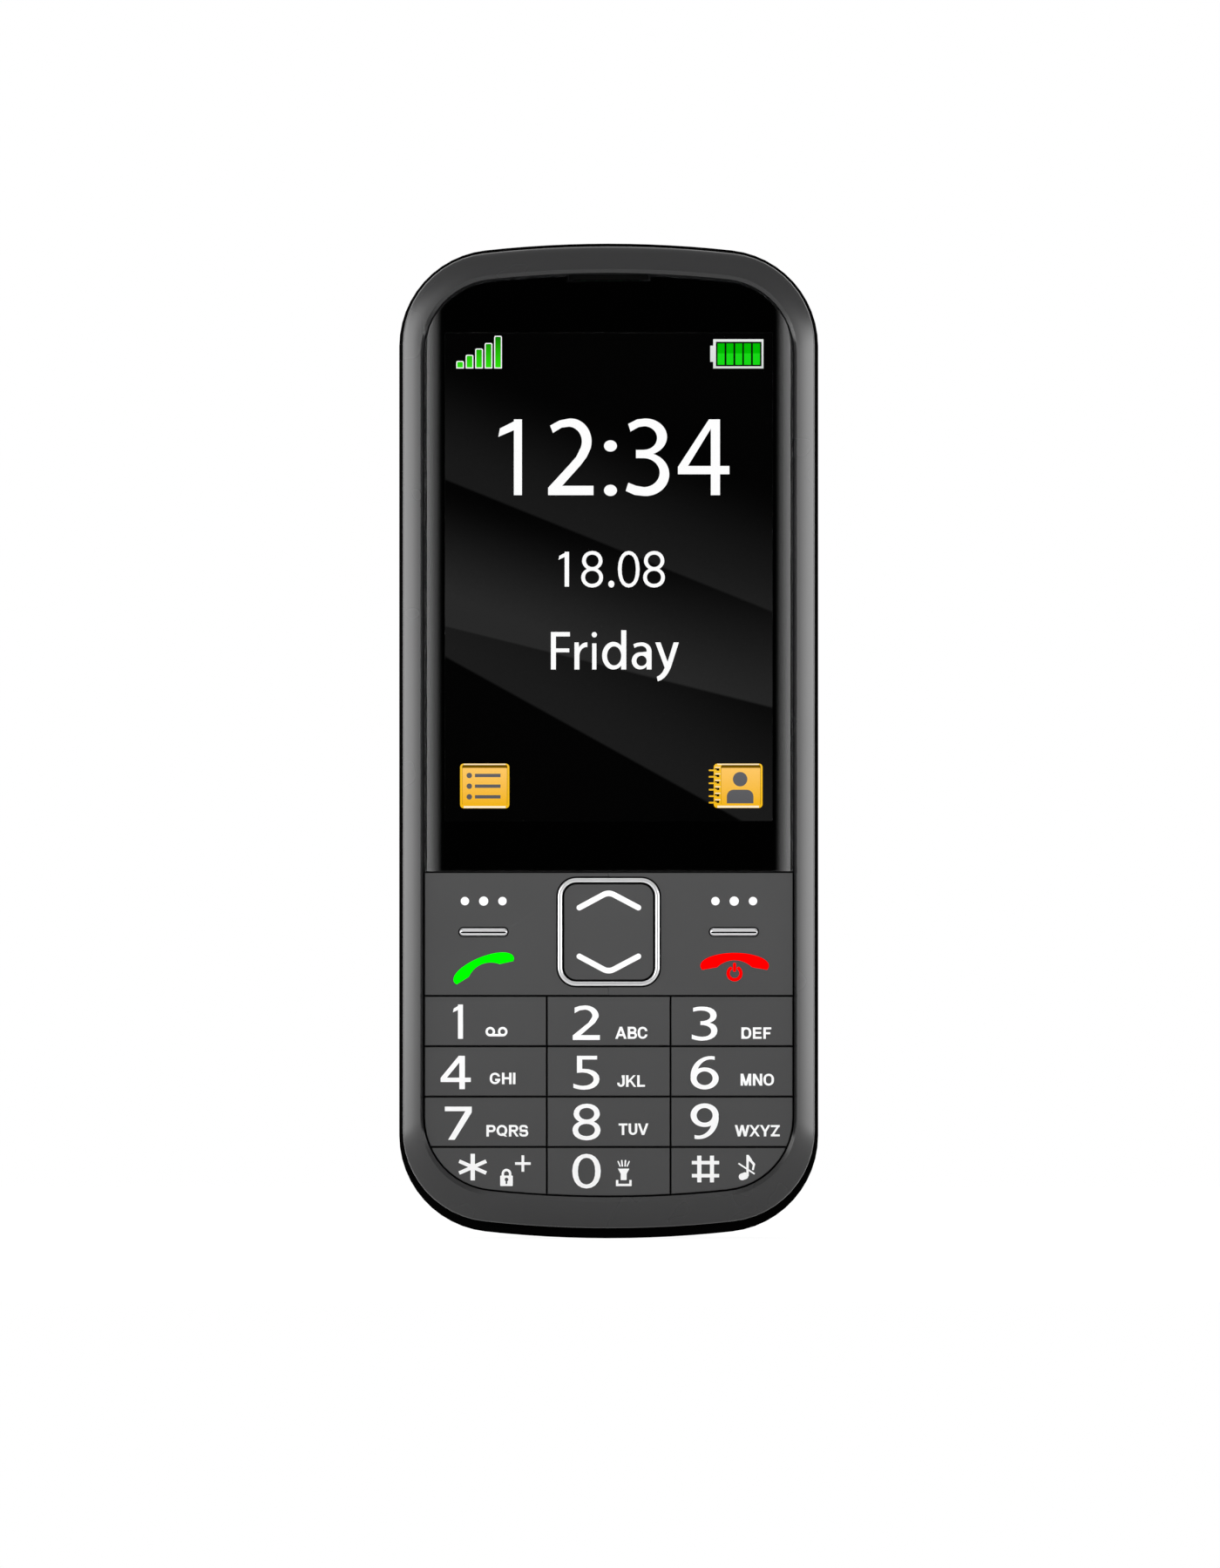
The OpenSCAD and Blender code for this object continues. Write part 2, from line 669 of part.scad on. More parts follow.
module earpiece() {
    color("gray") upright() translate([0, earpiece_y])
        plate(z_deck - earpiece_t, z_deck) stadium(earpiece_w, earpiece_l);
}

module display_panel() {
    color("midnightblue") upright() plate(z_panel, z_panel + panel_t)
        span(-panel_w / 2, panel_y0, panel_w / 2, panel_y1);
}

module display_backlight() {
    color("white") upright() plate(z_backlight, z_panel)
        span(-panel_w / 2, panel_y0, panel_w / 2, panel_y1);
}

module display_flex() {
    color("orange") upright() plate(z_board_top, z_backlight)
        span(-flex_w / 2, panel_y0, flex_w / 2, panel_y0 + flex_w);
}

module key_guide() {
    saddle_wall = 0.5;
    rib = 2 * (pivot_r + saddle_wall);
    rib_top = z_cap - 2 * stop_gap;
    color("dimgray") upright() difference() {
        union() {
            plate(z_guide, z_guide_top) keypad_area(fit_gap, fit_gap);
            // Saddles under the rockers' pivots
            for (saddle = [[-bar_x, pivot_l], [0, nav_pivot_l], [bar_x, pivot_l]])
                plate(z_guide, rib_top) translate([saddle[0], nav_y])
                    square([saddle[1], rib], center = true);
        }
        for (p = all_stems) translate([p[0], p[1], z_guide - over])
            cylinder(r = stem_r + stem_gap, h = guide_t + 2 * over);
        translate([-opening_a, nav_y, z_cap]) rotate([0, 90, 0])
            cylinder(r = pivot_r + pivot_gap, h = 2 * opening_a);
    }
}

module dome_sheet() {
    ball_r = (dome_r * dome_r + dome_rise * dome_rise) / (2 * dome_rise);
    color("gold") upright() {
        plate(z_board_top, z_board_top + film_t) keypad_area(ledge_w + fit_gap, ledge_w + fit_gap);
        for (p = all_stems) intersection() {
            translate([p[0], p[1], z_dome_top - ball_r]) sphere(ball_r);
            translate([p[0], p[1], z_board_top + film_t / 2])
                cylinder(r = dome_r, h = dome_rise + film_t);
        }
    }
}

// A key's stems, with the foot that keeps it in the key guide, made longer by drop
module stems(places, drop) {
    for (p = places) translate([p[0], p[1], z_stem - drop]) {
        cylinder(r = stem_r, h = z_cap - z_stem + drop + cap_t / 4);
        cylinder(r = stem_r + foot_lip, h = foot_t);
    }
}

// A rocker's pivot, half sunk in its cap
module pivot(x, l) {
    translate([x - l / 2 + stop_gap, nav_y, z_cap]) rotate([0, 90, 0])
        cylinder(r = pivot_r, h = l - 2 * stop_gap);
}

module number_key(row, col) {
    x = col * key_col;
    y = number_y(row);
    half_gap = line_gap / 2;
    // The outer columns and the bottom row run out to the opening's own outline
    reach_x = col == 0 ? 0 : body_w;
    reach_y = row == 3 ? body_l : 0;
    color("dimgray") upright() {
        plate(z_cap, z_key_top) intersection() {
            polygon(opening(line_gap));
            span(x - key_col / 2 + half_gap - (col < 0 ? reach_x : 0),
                y - key_row / 2 + half_gap - reach_y,
                x + key_col / 2 - half_gap + (col > 0 ? reach_x : 0), y + key_row / 2 - half_gap);
        }
        stems([number_stem(row, col)], 0);
    }
}

// One function key: the half of the function row on one side, cut round the ring
module function_key(side) {
    color("dimgray") upright() difference() {
        union() {
            plate(z_cap, z_key_top) difference() {
                intersection() {
                    polygon(opening(line_gap));
                    span(side > 0 ? split_gap / 2 : -body_w, function_y0 + line_gap / 2,
                        side > 0 ? body_w : -split_gap / 2, keypad_y1 - line_gap / 2);
                }
                translate([0, nav_y]) rounded(ring_w + 2 * ring_clear, ring_l + 2 * ring_clear,
                    nav_r + ring_gap + ring_wall + ring_clear);
            }
            stems(rocker_stems(side * bar_x, rocker_arm), rocker_drop);
            pivot(side * bar_x, pivot_l);
        }
        // Recess for the chrome bar
        plate(z_key_top - bar_recess, z_key_top + over) translate([side * bar_x, nav_y])
            stadium(bar_l + 2 * bar_groove, bar_w + 2 * bar_groove);
    }
}

module left_function_key() {
    function_key(-1);
}

module right_function_key() {
    function_key(1);
}

// A chrome bar: a rod with round ends, flat where it sits in its recess
module trim_bar(side) {
    r = bar_w / 2;
    color("silver") upright() intersection() {
        hull() for (end = [-1, 1])
            translate([side * bar_x + end * (bar_l / 2 - r), nav_y, z_key_top + bar_rise - r])
                sphere(r, $fn = 24);
        box([side * bar_x - bar_l, nav_y - bar_w, z_key_top - bar_recess],
            [side * bar_x + bar_l, nav_y + bar_w, z_key_top + over]);
    }
}

module left_trim_bar() {
    trim_bar(-1);
}

module right_trim_bar() {
    trim_bar(1);
}

module nav_ring() {
    color("silver") upright() plate(z_guide_top, z_key_top + ring_rise) translate([0, nav_y])
        difference() {
            rounded(ring_w, ring_l, nav_r + ring_gap + ring_wall);
            rounded(nav_w + 2 * ring_gap, nav_l + 2 * ring_gap, nav_r + ring_gap);
        }
}

module nav_key() {
    color("dimgray") upright() {
        plate(z_cap, z_key_top) translate([0, nav_y]) rounded(nav_w, nav_l, nav_r);
        stems(rocker_stems(0, nav_arm), rocker_drop);
        pivot(0, nav_pivot_l);
    }
}

module battery() {
    battery_r = 1;
    color("darkgray") upright() plate(z_battery, z_battery + battery_t)
        translate([0, battery_y0 + battery_l / 2]) rounded(battery_w, battery_l, battery_r);
}

// Three blades in a block beside the battery's upper end
module battery_contacts() {
    block_y0 = battery_y1 + battery_gap + bay_wall / 2;
    blade = contact_w / 9;
    color("goldenrod") upright() {
        box([-contact_w / 2, block_y0, z_board - contact_h],
            [contact_w / 2, block_y0 + contact_l, z_board]);
        for (k = [-1:1]) translate([k * contact_w / 3, 0, z_board - contact_h / 2])
            box([-blade / 2, battery_y1 + battery_gap / 2, -blade / 2],
                [blade / 2, block_y0 + contact_l / 2, blade / 2]);
    }
}

// An open-ended metal cage on the back of the main board, with a window to its contacts
module sim_holder() {
    sheet = 0.25;
    rim = 4;
    color("lightgray") upright() difference() {
        box([-sim_w / 2, sim_y, z_board - sim_h], [sim_w / 2, sim_y + sim_l, z_board]);
        box([sheet - sim_w / 2, sim_y - over, z_board - sim_h + sheet],
            [sim_w / 2 - sheet, sim_y + sim_l - sheet, z_board - sheet]);
        box([rim - sim_w / 2, sim_y - over, z_board - sim_h - over],
            [sim_w / 2 - rim, sim_y + sim_l - rim, z_board - sheet]);
    }
}

module shield_cans() {
    sheet = 0.2;
    aisle = 2;
    can_l = (parts_y1 - parts_y0 - contact_l - 3 * aisle) / 2;
    color("lightgray") upright() for (k = [0, 1]) translate([0, parts_y1 - aisle - can_l
            - k * (can_l + aisle), 0]) difference() {
        box([aisle / 2, 0, z_board - can_h], [parts_x - aisle / 2, can_l, z_board]);
        box([aisle / 2 + sheet, sheet, z_board - can_h + sheet],
            [parts_x - aisle / 2 - sheet, can_l - sheet, z_board + over]);
    }
}

module loudspeaker() {
    cone_rim = 1.2;
    color("gray") upright() translate([speaker_x, speaker_y, z_board - speaker_h]) difference() {
        cylinder(r = speaker_r, h = speaker_h);
        translate([0, 0, -over]) cylinder(r = speaker_r - cone_rim, h = over + cone_rim / 2);
    }
}

module microphone() {
    color("silver") upright() translate([mic_x, mic_y, z_board - mic_h]) cylinder(r = mic_r, h = mic_h);
}

// A small motor lying along X, strapped to the back of the main board
module vibration_motor() {
    color("silver") upright() {
        translate([motor_x - motor_l / 2, motor_y, motor_z]) rotate([0, 90, 0])
            cylinder(r = motor_r, h = motor_l);
        translate([motor_x + motor_l / 2 - over, motor_y, motor_z]) rotate([0, 90, 0])
            cylinder(r = shaft_r, h = over + weight_l + 2 * weight_gap);
        box([motor_x - motor_l / 2 + over, motor_y - motor_r, motor_z],
            [motor_x + motor_l / 2 - over, motor_y + motor_r, z_board]);
    }
}

// The half-round weight that spins on the motor's shaft, drawn hanging in an upright phone
module vibration_weight() {
    weight_r = motor_r - weight_gap / 2;
    color("goldenrod") upright() translate([motor_x + motor_l / 2 + weight_gap, motor_y, motor_z])
        rotate([0, 90, 0]) difference() {
            union() {
                cylinder(r = 2 * shaft_r, h = weight_l);
                intersection() {
                    cylinder(r = weight_r, h = weight_l);
                    box([-weight_r, -weight_r, -over], [weight_r, 0, weight_l + over]);
                }
            }
            translate([0, 0, -over]) cylinder(r = shaft_r + shaft_gap, h = weight_l + 2 * over);
        }
}

// A metal shell with a tongue inside
module usb_port() {
    sheet = 0.3;
    tongue_w = usb_w / 2;
    tongue_t = 0.6;
    color("silver") upright() {
        difference() {
            box([-usb_w / 2, usb_y, z_board - usb_h], [usb_w / 2, usb_y + usb_l, z_board]);
            box([sheet - usb_w / 2, usb_y - over, z_board - usb_h + sheet],
                [usb_w / 2 - sheet, usb_y + usb_l - sheet, z_board - sheet]);
        }
        box([-tongue_w / 2, usb_y + tongue_t, z_board - sheet - tongue_t],
            [tongue_w / 2, usb_y + usb_l, z_board - sheet / 2]);
    }
}

module torch_lens() {
    color("white") upright() translate([0, body_l / 2 - fit_gap, torch_z]) rotate([90, 0, 0])
        cylinder(r = torch_r, h = shell_wall + led_gap / 2 - fit_gap);
}

module torch_led() {
    color("yellow") upright() {
        box([-torch_r, led_y1 - led_l, torch_z - torch_r], [torch_r, led_y1, z_board]);
        translate([0, led_y1 - led_l / 2, torch_z]) rotate([-90, 0, 0])
            cylinder(r = torch_r / 2, h = led_l / 2 + led_gap / 2);
    }
}

// A meandering foil on the back of the rear chassis, at the top end
module antenna() {
    foil = antenna_track / 5;
    turns = 5;
    x0 = antenna_gap + head_r - screw_places[0][0];
    y0 = parts_y1 + antenna_track;
    color("peru") upright() plate(z_web - foil, z_web) translate([x0, y0]) difference() {
        square([(2 * turns + 1) * antenna_track, antenna_l]);
        for (k = [0:turns - 1])
            translate([(2 * k + 1) * antenna_track, (k % 2 == 0 ? -1 : 1) * antenna_track])
                square([antenna_track, antenna_l]);
    }
}

front_bezel();
front_chassis();
rear_housing();
rear_chassis();
battery_cover();
speaker_mesh();
display_lens();
lens_adhesive();
display_panel();
display_backlight();
display_flex();
earpiece();
earpiece_mesh();
key_guide();
dome_sheet();
nav_ring();
nav_key();
left_function_key();
right_function_key();
left_trim_bar();
right_trim_bar();
main_board();
shield_cans();
battery();
battery_contacts();
sim_holder();
loudspeaker();
microphone();
vibration_motor();
vibration_weight();
usb_port();
torch_led();
torch_lens();
antenna();
housing_screws();
for (k = [0:len(NUMBER_KEYS) - 1])
    number_key(floor(k / 3), k % 3 - 1);
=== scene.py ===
# %% [markdown]
# # Dressing a feature phone
# The CAD model already gives every part of the phone its shape and place, in metres, standing on its
# bottom end with the keys towards -Y. This script loads it as a fixed frame, films it straight from the
# front, and gives each part the finish it has on the real thing. Only what the CAD leaves out is modelled
# here: the prints, the signs, the picture on the display and some thin trim.

# %% Load the phone
import math

import bmesh
import bpy
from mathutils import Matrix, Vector


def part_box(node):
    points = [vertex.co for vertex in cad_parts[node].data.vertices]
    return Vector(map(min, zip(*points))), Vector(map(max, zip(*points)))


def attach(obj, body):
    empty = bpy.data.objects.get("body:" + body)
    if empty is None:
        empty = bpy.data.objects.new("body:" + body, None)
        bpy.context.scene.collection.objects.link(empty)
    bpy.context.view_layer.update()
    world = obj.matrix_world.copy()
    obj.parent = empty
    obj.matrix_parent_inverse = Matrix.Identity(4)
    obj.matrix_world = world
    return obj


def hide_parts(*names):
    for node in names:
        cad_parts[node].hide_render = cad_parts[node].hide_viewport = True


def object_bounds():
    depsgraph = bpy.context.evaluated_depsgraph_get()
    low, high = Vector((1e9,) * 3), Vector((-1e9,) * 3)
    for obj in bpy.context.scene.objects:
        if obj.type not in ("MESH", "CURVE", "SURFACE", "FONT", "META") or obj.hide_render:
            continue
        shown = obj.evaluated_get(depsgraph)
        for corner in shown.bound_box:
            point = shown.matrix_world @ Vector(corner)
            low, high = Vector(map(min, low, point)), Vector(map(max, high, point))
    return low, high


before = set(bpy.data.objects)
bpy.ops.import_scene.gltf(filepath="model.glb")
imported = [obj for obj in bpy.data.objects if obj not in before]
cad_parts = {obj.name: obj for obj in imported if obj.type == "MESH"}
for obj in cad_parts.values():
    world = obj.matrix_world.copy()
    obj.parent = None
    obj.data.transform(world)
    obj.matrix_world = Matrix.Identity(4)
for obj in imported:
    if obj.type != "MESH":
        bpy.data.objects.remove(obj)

MM = 0.001
cad_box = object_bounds()
MIDDLE = (cad_box[0].z + cad_box[1].z) / 2


def in_mm(box):
    return [round(side / MM, 2) for side in box[1] - box[0]]


print("phone", in_mm(cad_box), "mm,", len(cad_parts), "CAD parts")

# %% [markdown]
# ## The camera
# The photograph looks straight at the front and shows no perspective on the sides, so it was taken from
# far away. A 300 mm lens on a 36 mm sensor does the same from 1.6 m. The camera could be moved by eye
# until the render fits, but here its distance is worked out from the share of the picture that the phone
# fills. The first three values are pixels of the photograph.

# %% Camera
PICTURE_HEIGHT = 1800
PHONE_HEIGHT = 1142.4
PHONE_CENTRE = (-1.5, -49)
FRONT_EDGE = -2.5 * MM
CAMERA_DROP = 0.05 * MM
LENS = 300
SENSOR = 36
NEAREST = 0.01


def deselect():
    bpy.ops.object.select_all(action="DESELECT")


deselect()
bpy.ops.object.camera_add(rotation=(math.pi / 2, 0, 0))
camera = bpy.context.object
camera.data.lens = LENS
camera.data.sensor_width = SENSOR
camera.data.clip_start = NEAREST
pixel = (cad_box[1].z - cad_box[0].z) / PHONE_HEIGHT
distance = pixel * PICTURE_HEIGHT * LENS / SENSOR
height = MIDDLE + PHONE_CENTRE[1] * pixel - CAMERA_DROP
camera.location = (-PHONE_CENTRE[0] * pixel, FRONT_EDGE - distance, height)
bpy.context.scene.camera = camera
bpy.context.scene.view_settings.view_transform = "Standard"
print("camera", [round(value, 4) for value in camera.location])

# %% [markdown]
# ## Sums with shader sockets
# Every finish below is a small node tree. Wiring nodes one by one hides the idea, so a socket is wrapped
# in a class that understands + - and *. An expression such as 1 - grain * 0.2 then builds its Math nodes
# by itself.

# %% Sockets that can be added and multiplied
class Socket:
    def __init__(self, paint, socket):
        self.paint = paint
        self.socket = socket

    def __add__(self, other):
        return self.paint.math("ADD", self, other)

    def __radd__(self, other):
        return self.paint.math("ADD", other, self)

    def __sub__(self, other):
        return self.paint.math("SUBTRACT", self, other)

    def __rsub__(self, other):
        return self.paint.math("SUBTRACT", other, self)

    def __mul__(self, other):
        return self.paint.math("MULTIPLY", self, other)

    def __rmul__(self, other):
        return self.paint.math("MULTIPLY", other, self)


print("sockets ready")

# %% [markdown]
# A node tree gets one method, add, for any kind of node: its type, its settings, and the values or links
# of its sockets. The other methods are the few nodes that return in almost every finish, such as a noise
# of a given size in metres. Patterns read Object coordinates, so they stay on their piece when it moves.

# %% Node trees
class Paint:
    def __init__(self, tree):
        self.tree = tree

    def add(self, kind, settings, inputs, output=0):
        node = self.tree.nodes.new(kind)
        for name, value in settings.items():
            setattr(node, name, value)
        for name, value in inputs.items():
            self.feed(node.inputs[name], value)
        return Socket(self, node.outputs[output])

    def feed(self, socket, value):
        if isinstance(value, Socket):
            self.tree.links.new(value.socket, socket)
        else:
            socket.default_value = value

    def give(self, name, value):
        self.feed(self.shader.inputs[name], value)

    def math(self, operation, first, second):
        return self.add("ShaderNodeMath", {"operation": operation}, {0: first, 1: second})

    def step(self, value, low, high, kind="SMOOTHSTEP"):
        inputs = {"Value": value, "From Min": low, "From Max": high}
        return self.add("ShaderNodeMapRange", {"interpolation_type": kind}, inputs)

    def mix(self, share, first, second):
        inputs = {0: share, 6: first, 7: second}
        return self.add("ShaderNodeMix", {"data_type": "RGBA"}, inputs, output=2)

    def part(self, vector, axis):
        return self.add("ShaderNodeSeparateXYZ", {}, {"Vector": vector}, output=axis)

    def ray(self, kind):
        return self.add("ShaderNodeLightPath", {}, {}, output=kind)

    def place(self, scale, turn=(0, 0, 0), shift=(0, 0, 0)):
        point = self.add("ShaderNodeTexCoord", {}, {}, output="Object")
        inputs = {"Vector": point, "Scale": (scale,) * 3, "Rotation": turn, "Location": shift}
        return self.add("ShaderNodeMapping", {}, inputs)

    def noise(self, size, detail=2.0):
        inputs = {"Vector": self.place(1 / size), "Scale": 1.0, "Detail": detail}
        return self.add("ShaderNodeTexNoise", {}, inputs)

    def bump(self, height, depth):
        return self.add("ShaderNodeBump", {}, {"Height": height, "Distance": depth})


print("node trees ready")

# %% [markdown]
# A new finish starts as Blender's Principled shader. What is the same all over the surface is set on the
# shader's own sockets, and only what varies gets nodes. Colours are written as three numbers and made
# opaque.

# %% New finishes
def new_finish(name, constants):
    material = bpy.data.materials.new(name)
    material.use_nodes = True
    paint = Paint(material.node_tree)
    paint.material = material
    paint.shader = material.node_tree.nodes["Principled BSDF"]
    for socket, value in constants.items():
        paint.give(socket, value)
    return paint


def opaque(colour, factor=1.0):
    return tuple(value * factor for value in colour) + (1,)


def grey(level):
    return (level, level, level, 1)


print("finish helpers ready")

# %% [markdown]
# ## Studio light
# The photograph has a white ground, bright flanks on both sides of the phone and a dark window in the
# middle: large soft boxes stood left and right, with a smaller one overhead. Area lamps could stand there
# too. A world shader is simpler: its brightness depends only on the direction, dark where the camera
# stands and bright to the sides, and the total gives a matt front face a light level of about one. The
# camera itself, metal and glass see plain white behind.

# %% Studio
LEFT_WALL = 5.2
RIGHT_WALL = 6.0
OVERHEAD = 0.35
CEILING = 0.7
FRONT = 0.01
WALL_RISE = (0.05, 1.0)
LEFT_LIP = (0.25, 0.5)
RIGHT_LIP = (0.08, 0.34)
OVERHEAD_RISE = (0.1, 0.5)
CEILING_RISE = (0.93, 0.99)
BEHIND_RISE = (0.0, 0.3)

studio = bpy.data.worlds.new("studio")
bpy.context.scene.world = studio
studio.use_nodes = True
sky = Paint(studio.node_tree)
direction = sky.add("ShaderNodeTexCoord", {}, {}, output="Generated")
across, backward, upward = [sky.part(direction, axis) for axis in "XYZ"]
slope = sky.add("ShaderNodeMath", {"operation": "ABSOLUTE"}, {0: upward})
left = sky.step(-1 * across, *WALL_RISE) * (1 - sky.step(slope, *LEFT_LIP))
right = sky.step(across, *WALL_RISE) * (1 - sky.step(slope, *RIGHT_LIP))
above = sky.step(upward, *OVERHEAD_RISE) * OVERHEAD + sky.step(upward, *CEILING_RISE) * CEILING
lit = left * LEFT_WALL + right * RIGHT_WALL + above + FRONT
shiny = sky.ray("Is Glossy Ray") + sky.ray("Is Transmission Ray")
seen = sky.math("MINIMUM", sky.ray("Is Camera Ray") + shiny * sky.step(backward, *BEHIND_RISE), 1.0)
background = sky.tree.nodes["Background"].inputs
sky.feed(background["Color"], grey(1))
sky.feed(background["Strength"], seen + (1 - seen) * lit)
print("studio walls", LEFT_WALL, RIGHT_WALL, "above", OVERHEAD, CEILING)

# %% [markdown]
# ## The floor
# The phone stands on a plain white table. A lit white plane would turn grey towards the back. Seen by the
# camera this one is mostly its own white, with a little real light mixed in, so that it melts into the
# background and still keeps a soft shadow under the phone.

# %% Floor
TABLE = 0.4
TABLE_GAP = 0.01 * MM
TABLE_GLOW = 1.2
OWN_WHITE = 0.78
MIRRORED_WHITE = 0.4


def settle():
    bpy.ops.object.transform_apply(location=True, rotation=True, scale=True)


deselect()
bpy.ops.mesh.primitive_plane_add(size=TABLE, location=(0, 0, cad_box[0].z - TABLE_GAP))
floor = bpy.context.object
floor.name = "table"
settle()
white = new_finish("table_white", {"Base Color": grey(0.8), "Roughness": 0.9, "Specular IOR Level": 0.1})
mirrored = white.ray("Is Glossy Ray") + white.ray("Is Transmission Ray")
share = white.ray("Is Camera Ray") * OWN_WHITE + mirrored * MIRRORED_WHITE
glow = white.add("ShaderNodeEmission", {}, {"Strength": TABLE_GLOW})
real = Socket(white, white.shader.outputs["BSDF"])
share = white.math("MINIMUM", share, OWN_WHITE)
blend = white.add("ShaderNodeMixShader", {}, {"Fac": share, 1: real, 2: glow})
white.feed(white.tree.nodes["Material Output"].inputs["Surface"], blend)
floor.data.materials.append(white.material)
print("table", TABLE, "m wide")

# %% [markdown]
# ## Plastics
# Moulded plastic is never one flat colour. Spark-eroded tools leave a fine grain that scatters the gloss,
# the colour drifts a little from place to place, and handling polishes some patches. Each plastic gets
# these three from two noises at its own scale. A row holds colour, roughness, size and depth of the grain
# in millimetres, and where they differ from the usual, colour drift, gloss and polish.

# %% Moulded plastics
DRIFT_SIZE = 9 * MM
FINE_DETAIL = 3.0


def plastic(name, colour, roughness, grain, depth, drift=0.12, gloss=0.5, polish=0.06):
    paint = new_finish(name, {"Specular IOR Level": gloss})
    slow = paint.noise(DRIFT_SIZE)
    fine = paint.noise(grain * MM, FINE_DETAIL)
    tone = slow * 0.5 + fine * 0.5
    paint.give("Base Color", paint.mix(tone, opaque(colour, 1 - drift), opaque(colour, 1 + drift)))
    paint.give("Roughness", roughness - polish + slow * (2 * polish))
    paint.give("Normal", paint.bump(fine, depth * MM))
    return paint


PLASTICS = {
    "bezel_plastic": ((0.022, 0.022, 0.0225), 0.27, 0.12, 0.0012, 0.1, 0.6, 0.02),
    "inner_plastic": ((0.012, 0.012, 0.013), 0.6, 0.3, 0.01, 0.12, 0.25),
    # near-black painted shade for the walls of key gaps and grooves, so that they look dark
    "key_skirt": ((0.003, 0.003, 0.003), 0.7, 0.2, 0.004, 0.12, 0.02),
    "key_plastic": ((0.066, 0.066, 0.0665), 0.45, 0.1, 0.002, 0.06, 0.25),
    "driver_black": ((0.015, 0.015, 0.016), 0.5, 0.2, 0.008),
    "shell_rim": ((0.002, 0.002, 0.002), 0.7, 0.22, 0.006, 0.12, 0.0),
    "tape": ((0.006, 0.006, 0.006), 0.7, 0.25, 0.006),
    "backlight_white": ((0.75, 0.75, 0.73), 0.5, 0.3, 0.004, 0.03),
    "flex_film": ((0.35, 0.13, 0.03), 0.35, 0.5, 0.003)}
finishes = {name: plastic(name, *row) for name, row in PLASTICS.items()}
print("plastics:", ", ".join(finishes))

# %% [markdown]
# The back of such a phone is moulded with a pebbled grip texture, so that it doesn't slip out of the hand
# or off a table. A noise would give a grain without valleys. Voronoi cells are the usual way to get
# pebbles: the distance to the nearest cell centre gives round tops and narrow valleys. The tops are
# smoother and a little paler, partly from handling and partly as painted light, and the valleys are darker
# as painted shade.

# %% Pebbled shell
PEBBLE = 0.6 * MM
PEBBLE_EDGE = (0.3, 0.62)
PEBBLE_HEIGHT = 0.03 * MM
PEBBLE_SHARE = 0.75
PEBBLE_POLISH = 0.1
HANDLED_SIZE = 14 * MM
HANDLED_POLISH = 0.08
SHELL_ROUGH = 0.62
SHADED_VALLEY = (0.004, 0.004, 0.004, 1)
LIT_TOP = (0.014, 0.014, 0.0145, 1)

shell = new_finish("shell_plastic", {"Specular IOR Level": 0.22})
spots = {"Vector": shell.place(1 / PEBBLE), "Scale": 1.0}
cells = shell.add("ShaderNodeTexVoronoi", {}, spots, output="Distance")
pebble = 1 - shell.step(cells, *PEBBLE_EDGE)
handled = shell.noise(HANDLED_SIZE)
pale = pebble * PEBBLE_SHARE + handled * (1 - PEBBLE_SHARE)
# pebble tops painted paler as painted light and valleys darker as painted shade, mixed with a wear noise
# from handling
shell.give("Base Color", shell.mix(pale, SHADED_VALLEY, LIT_TOP))
shell.give("Roughness", SHELL_ROUGH - pebble * PEBBLE_POLISH - handled * HANDLED_POLISH)
shell.give("Normal", shell.bump(pebble, PEBBLE_HEIGHT))
finishes["shell_plastic"] = shell
print("pebbles", PEBBLE / MM, "mm")

# %% [markdown]
# ## Metals
# A fully metallic finish shows only what it reflects, and from the front that is the dark side of the
# studio. The chrome trim of the phone stays pale there, so it is metallic by about a half, which lets its
# own pale colour through. The sheet steel, the switch domes, the contacts and the battery's can are
# duller metals with broader smears. A row holds colour, roughness, smear and, where it isn't full, the
# share of metal.

# %% Metals
SMEAR_SIZE = 3 * MM
SCRATCH_SIZE = 0.15 * MM
SCRATCH_DEPTH = 0.001 * MM
SMEAR_TONE = 0.93


def metal(name, colour, roughness, smear, share_of_metal=1.0):
    paint = new_finish(name, {"Metallic": share_of_metal})
    slow = paint.noise(SMEAR_SIZE)
    fine = paint.noise(SCRATCH_SIZE, FINE_DETAIL)
    paint.give("Base Color", paint.mix(slow, opaque(colour, SMEAR_TONE), opaque(colour)))
    paint.give("Roughness", roughness + slow * smear + fine * smear)
    paint.give("Normal", paint.bump(fine, SCRATCH_DEPTH))
    return paint


METALS = {
    "chrome_trim": ((0.92, 0.92, 0.93), 0.1, 0.05, 0.55),
    "sheet_steel": ((0.6, 0.6, 0.58), 0.25, 0.12),
    "dome_steel": ((0.62, 0.6, 0.56), 0.2, 0.1),
    "contact_metal": ((0.85, 0.62, 0.28), 0.18, 0.1),
    "cell_can": ((0.5, 0.51, 0.53), 0.38, 0.12)}
finishes.update({name: metal(name, *row) for name, row in METALS.items()})
print("metals:", ", ".join(METALS))

# %% [markdown]
# ## Clear parts
# The window is clear acrylic, so the black frame behind it and the lit picture are seen through it, and
# only its rolled edges catch the light. A black window with a picture stuck on would look flat from the
# side. The torch's lens is the same plastic, a little bluish and less polished. The panel under the
# picture is dark glass.

# %% Clear finishes
ACRYLIC = 1.49
FILM_SIZE = 6 * MM
FILM_TONE = 0.99
FILM_BLUR = 0.01
PANEL_SIZE = 4 * MM
PANEL_TONES = (0.01, 0.02)


def clear(name, tint, roughness):
    paint = new_finish(name, {"Transmission Weight": 1.0, "IOR": ACRYLIC})
    film = paint.noise(FILM_SIZE)
    paint.give("Base Color", paint.mix(film, opaque(tint, FILM_TONE), opaque(tint)))
    paint.give("Roughness", roughness + film * FILM_BLUR)
    return paint


finishes["window"] = clear("window", (1.0, 1.0, 1.0), 0.0)
finishes["torch_clear"] = clear("torch_clear", (0.96, 0.98, 1.0), 0.03)
panel = new_finish("panel_glass", {"Roughness": 0.15})
panel.give("Base Color", panel.mix(panel.noise(PANEL_SIZE), *[grey(tone) for tone in PANEL_TONES]))
finishes["panel_glass"] = panel
print("clear parts with an index of", ACRYLIC)

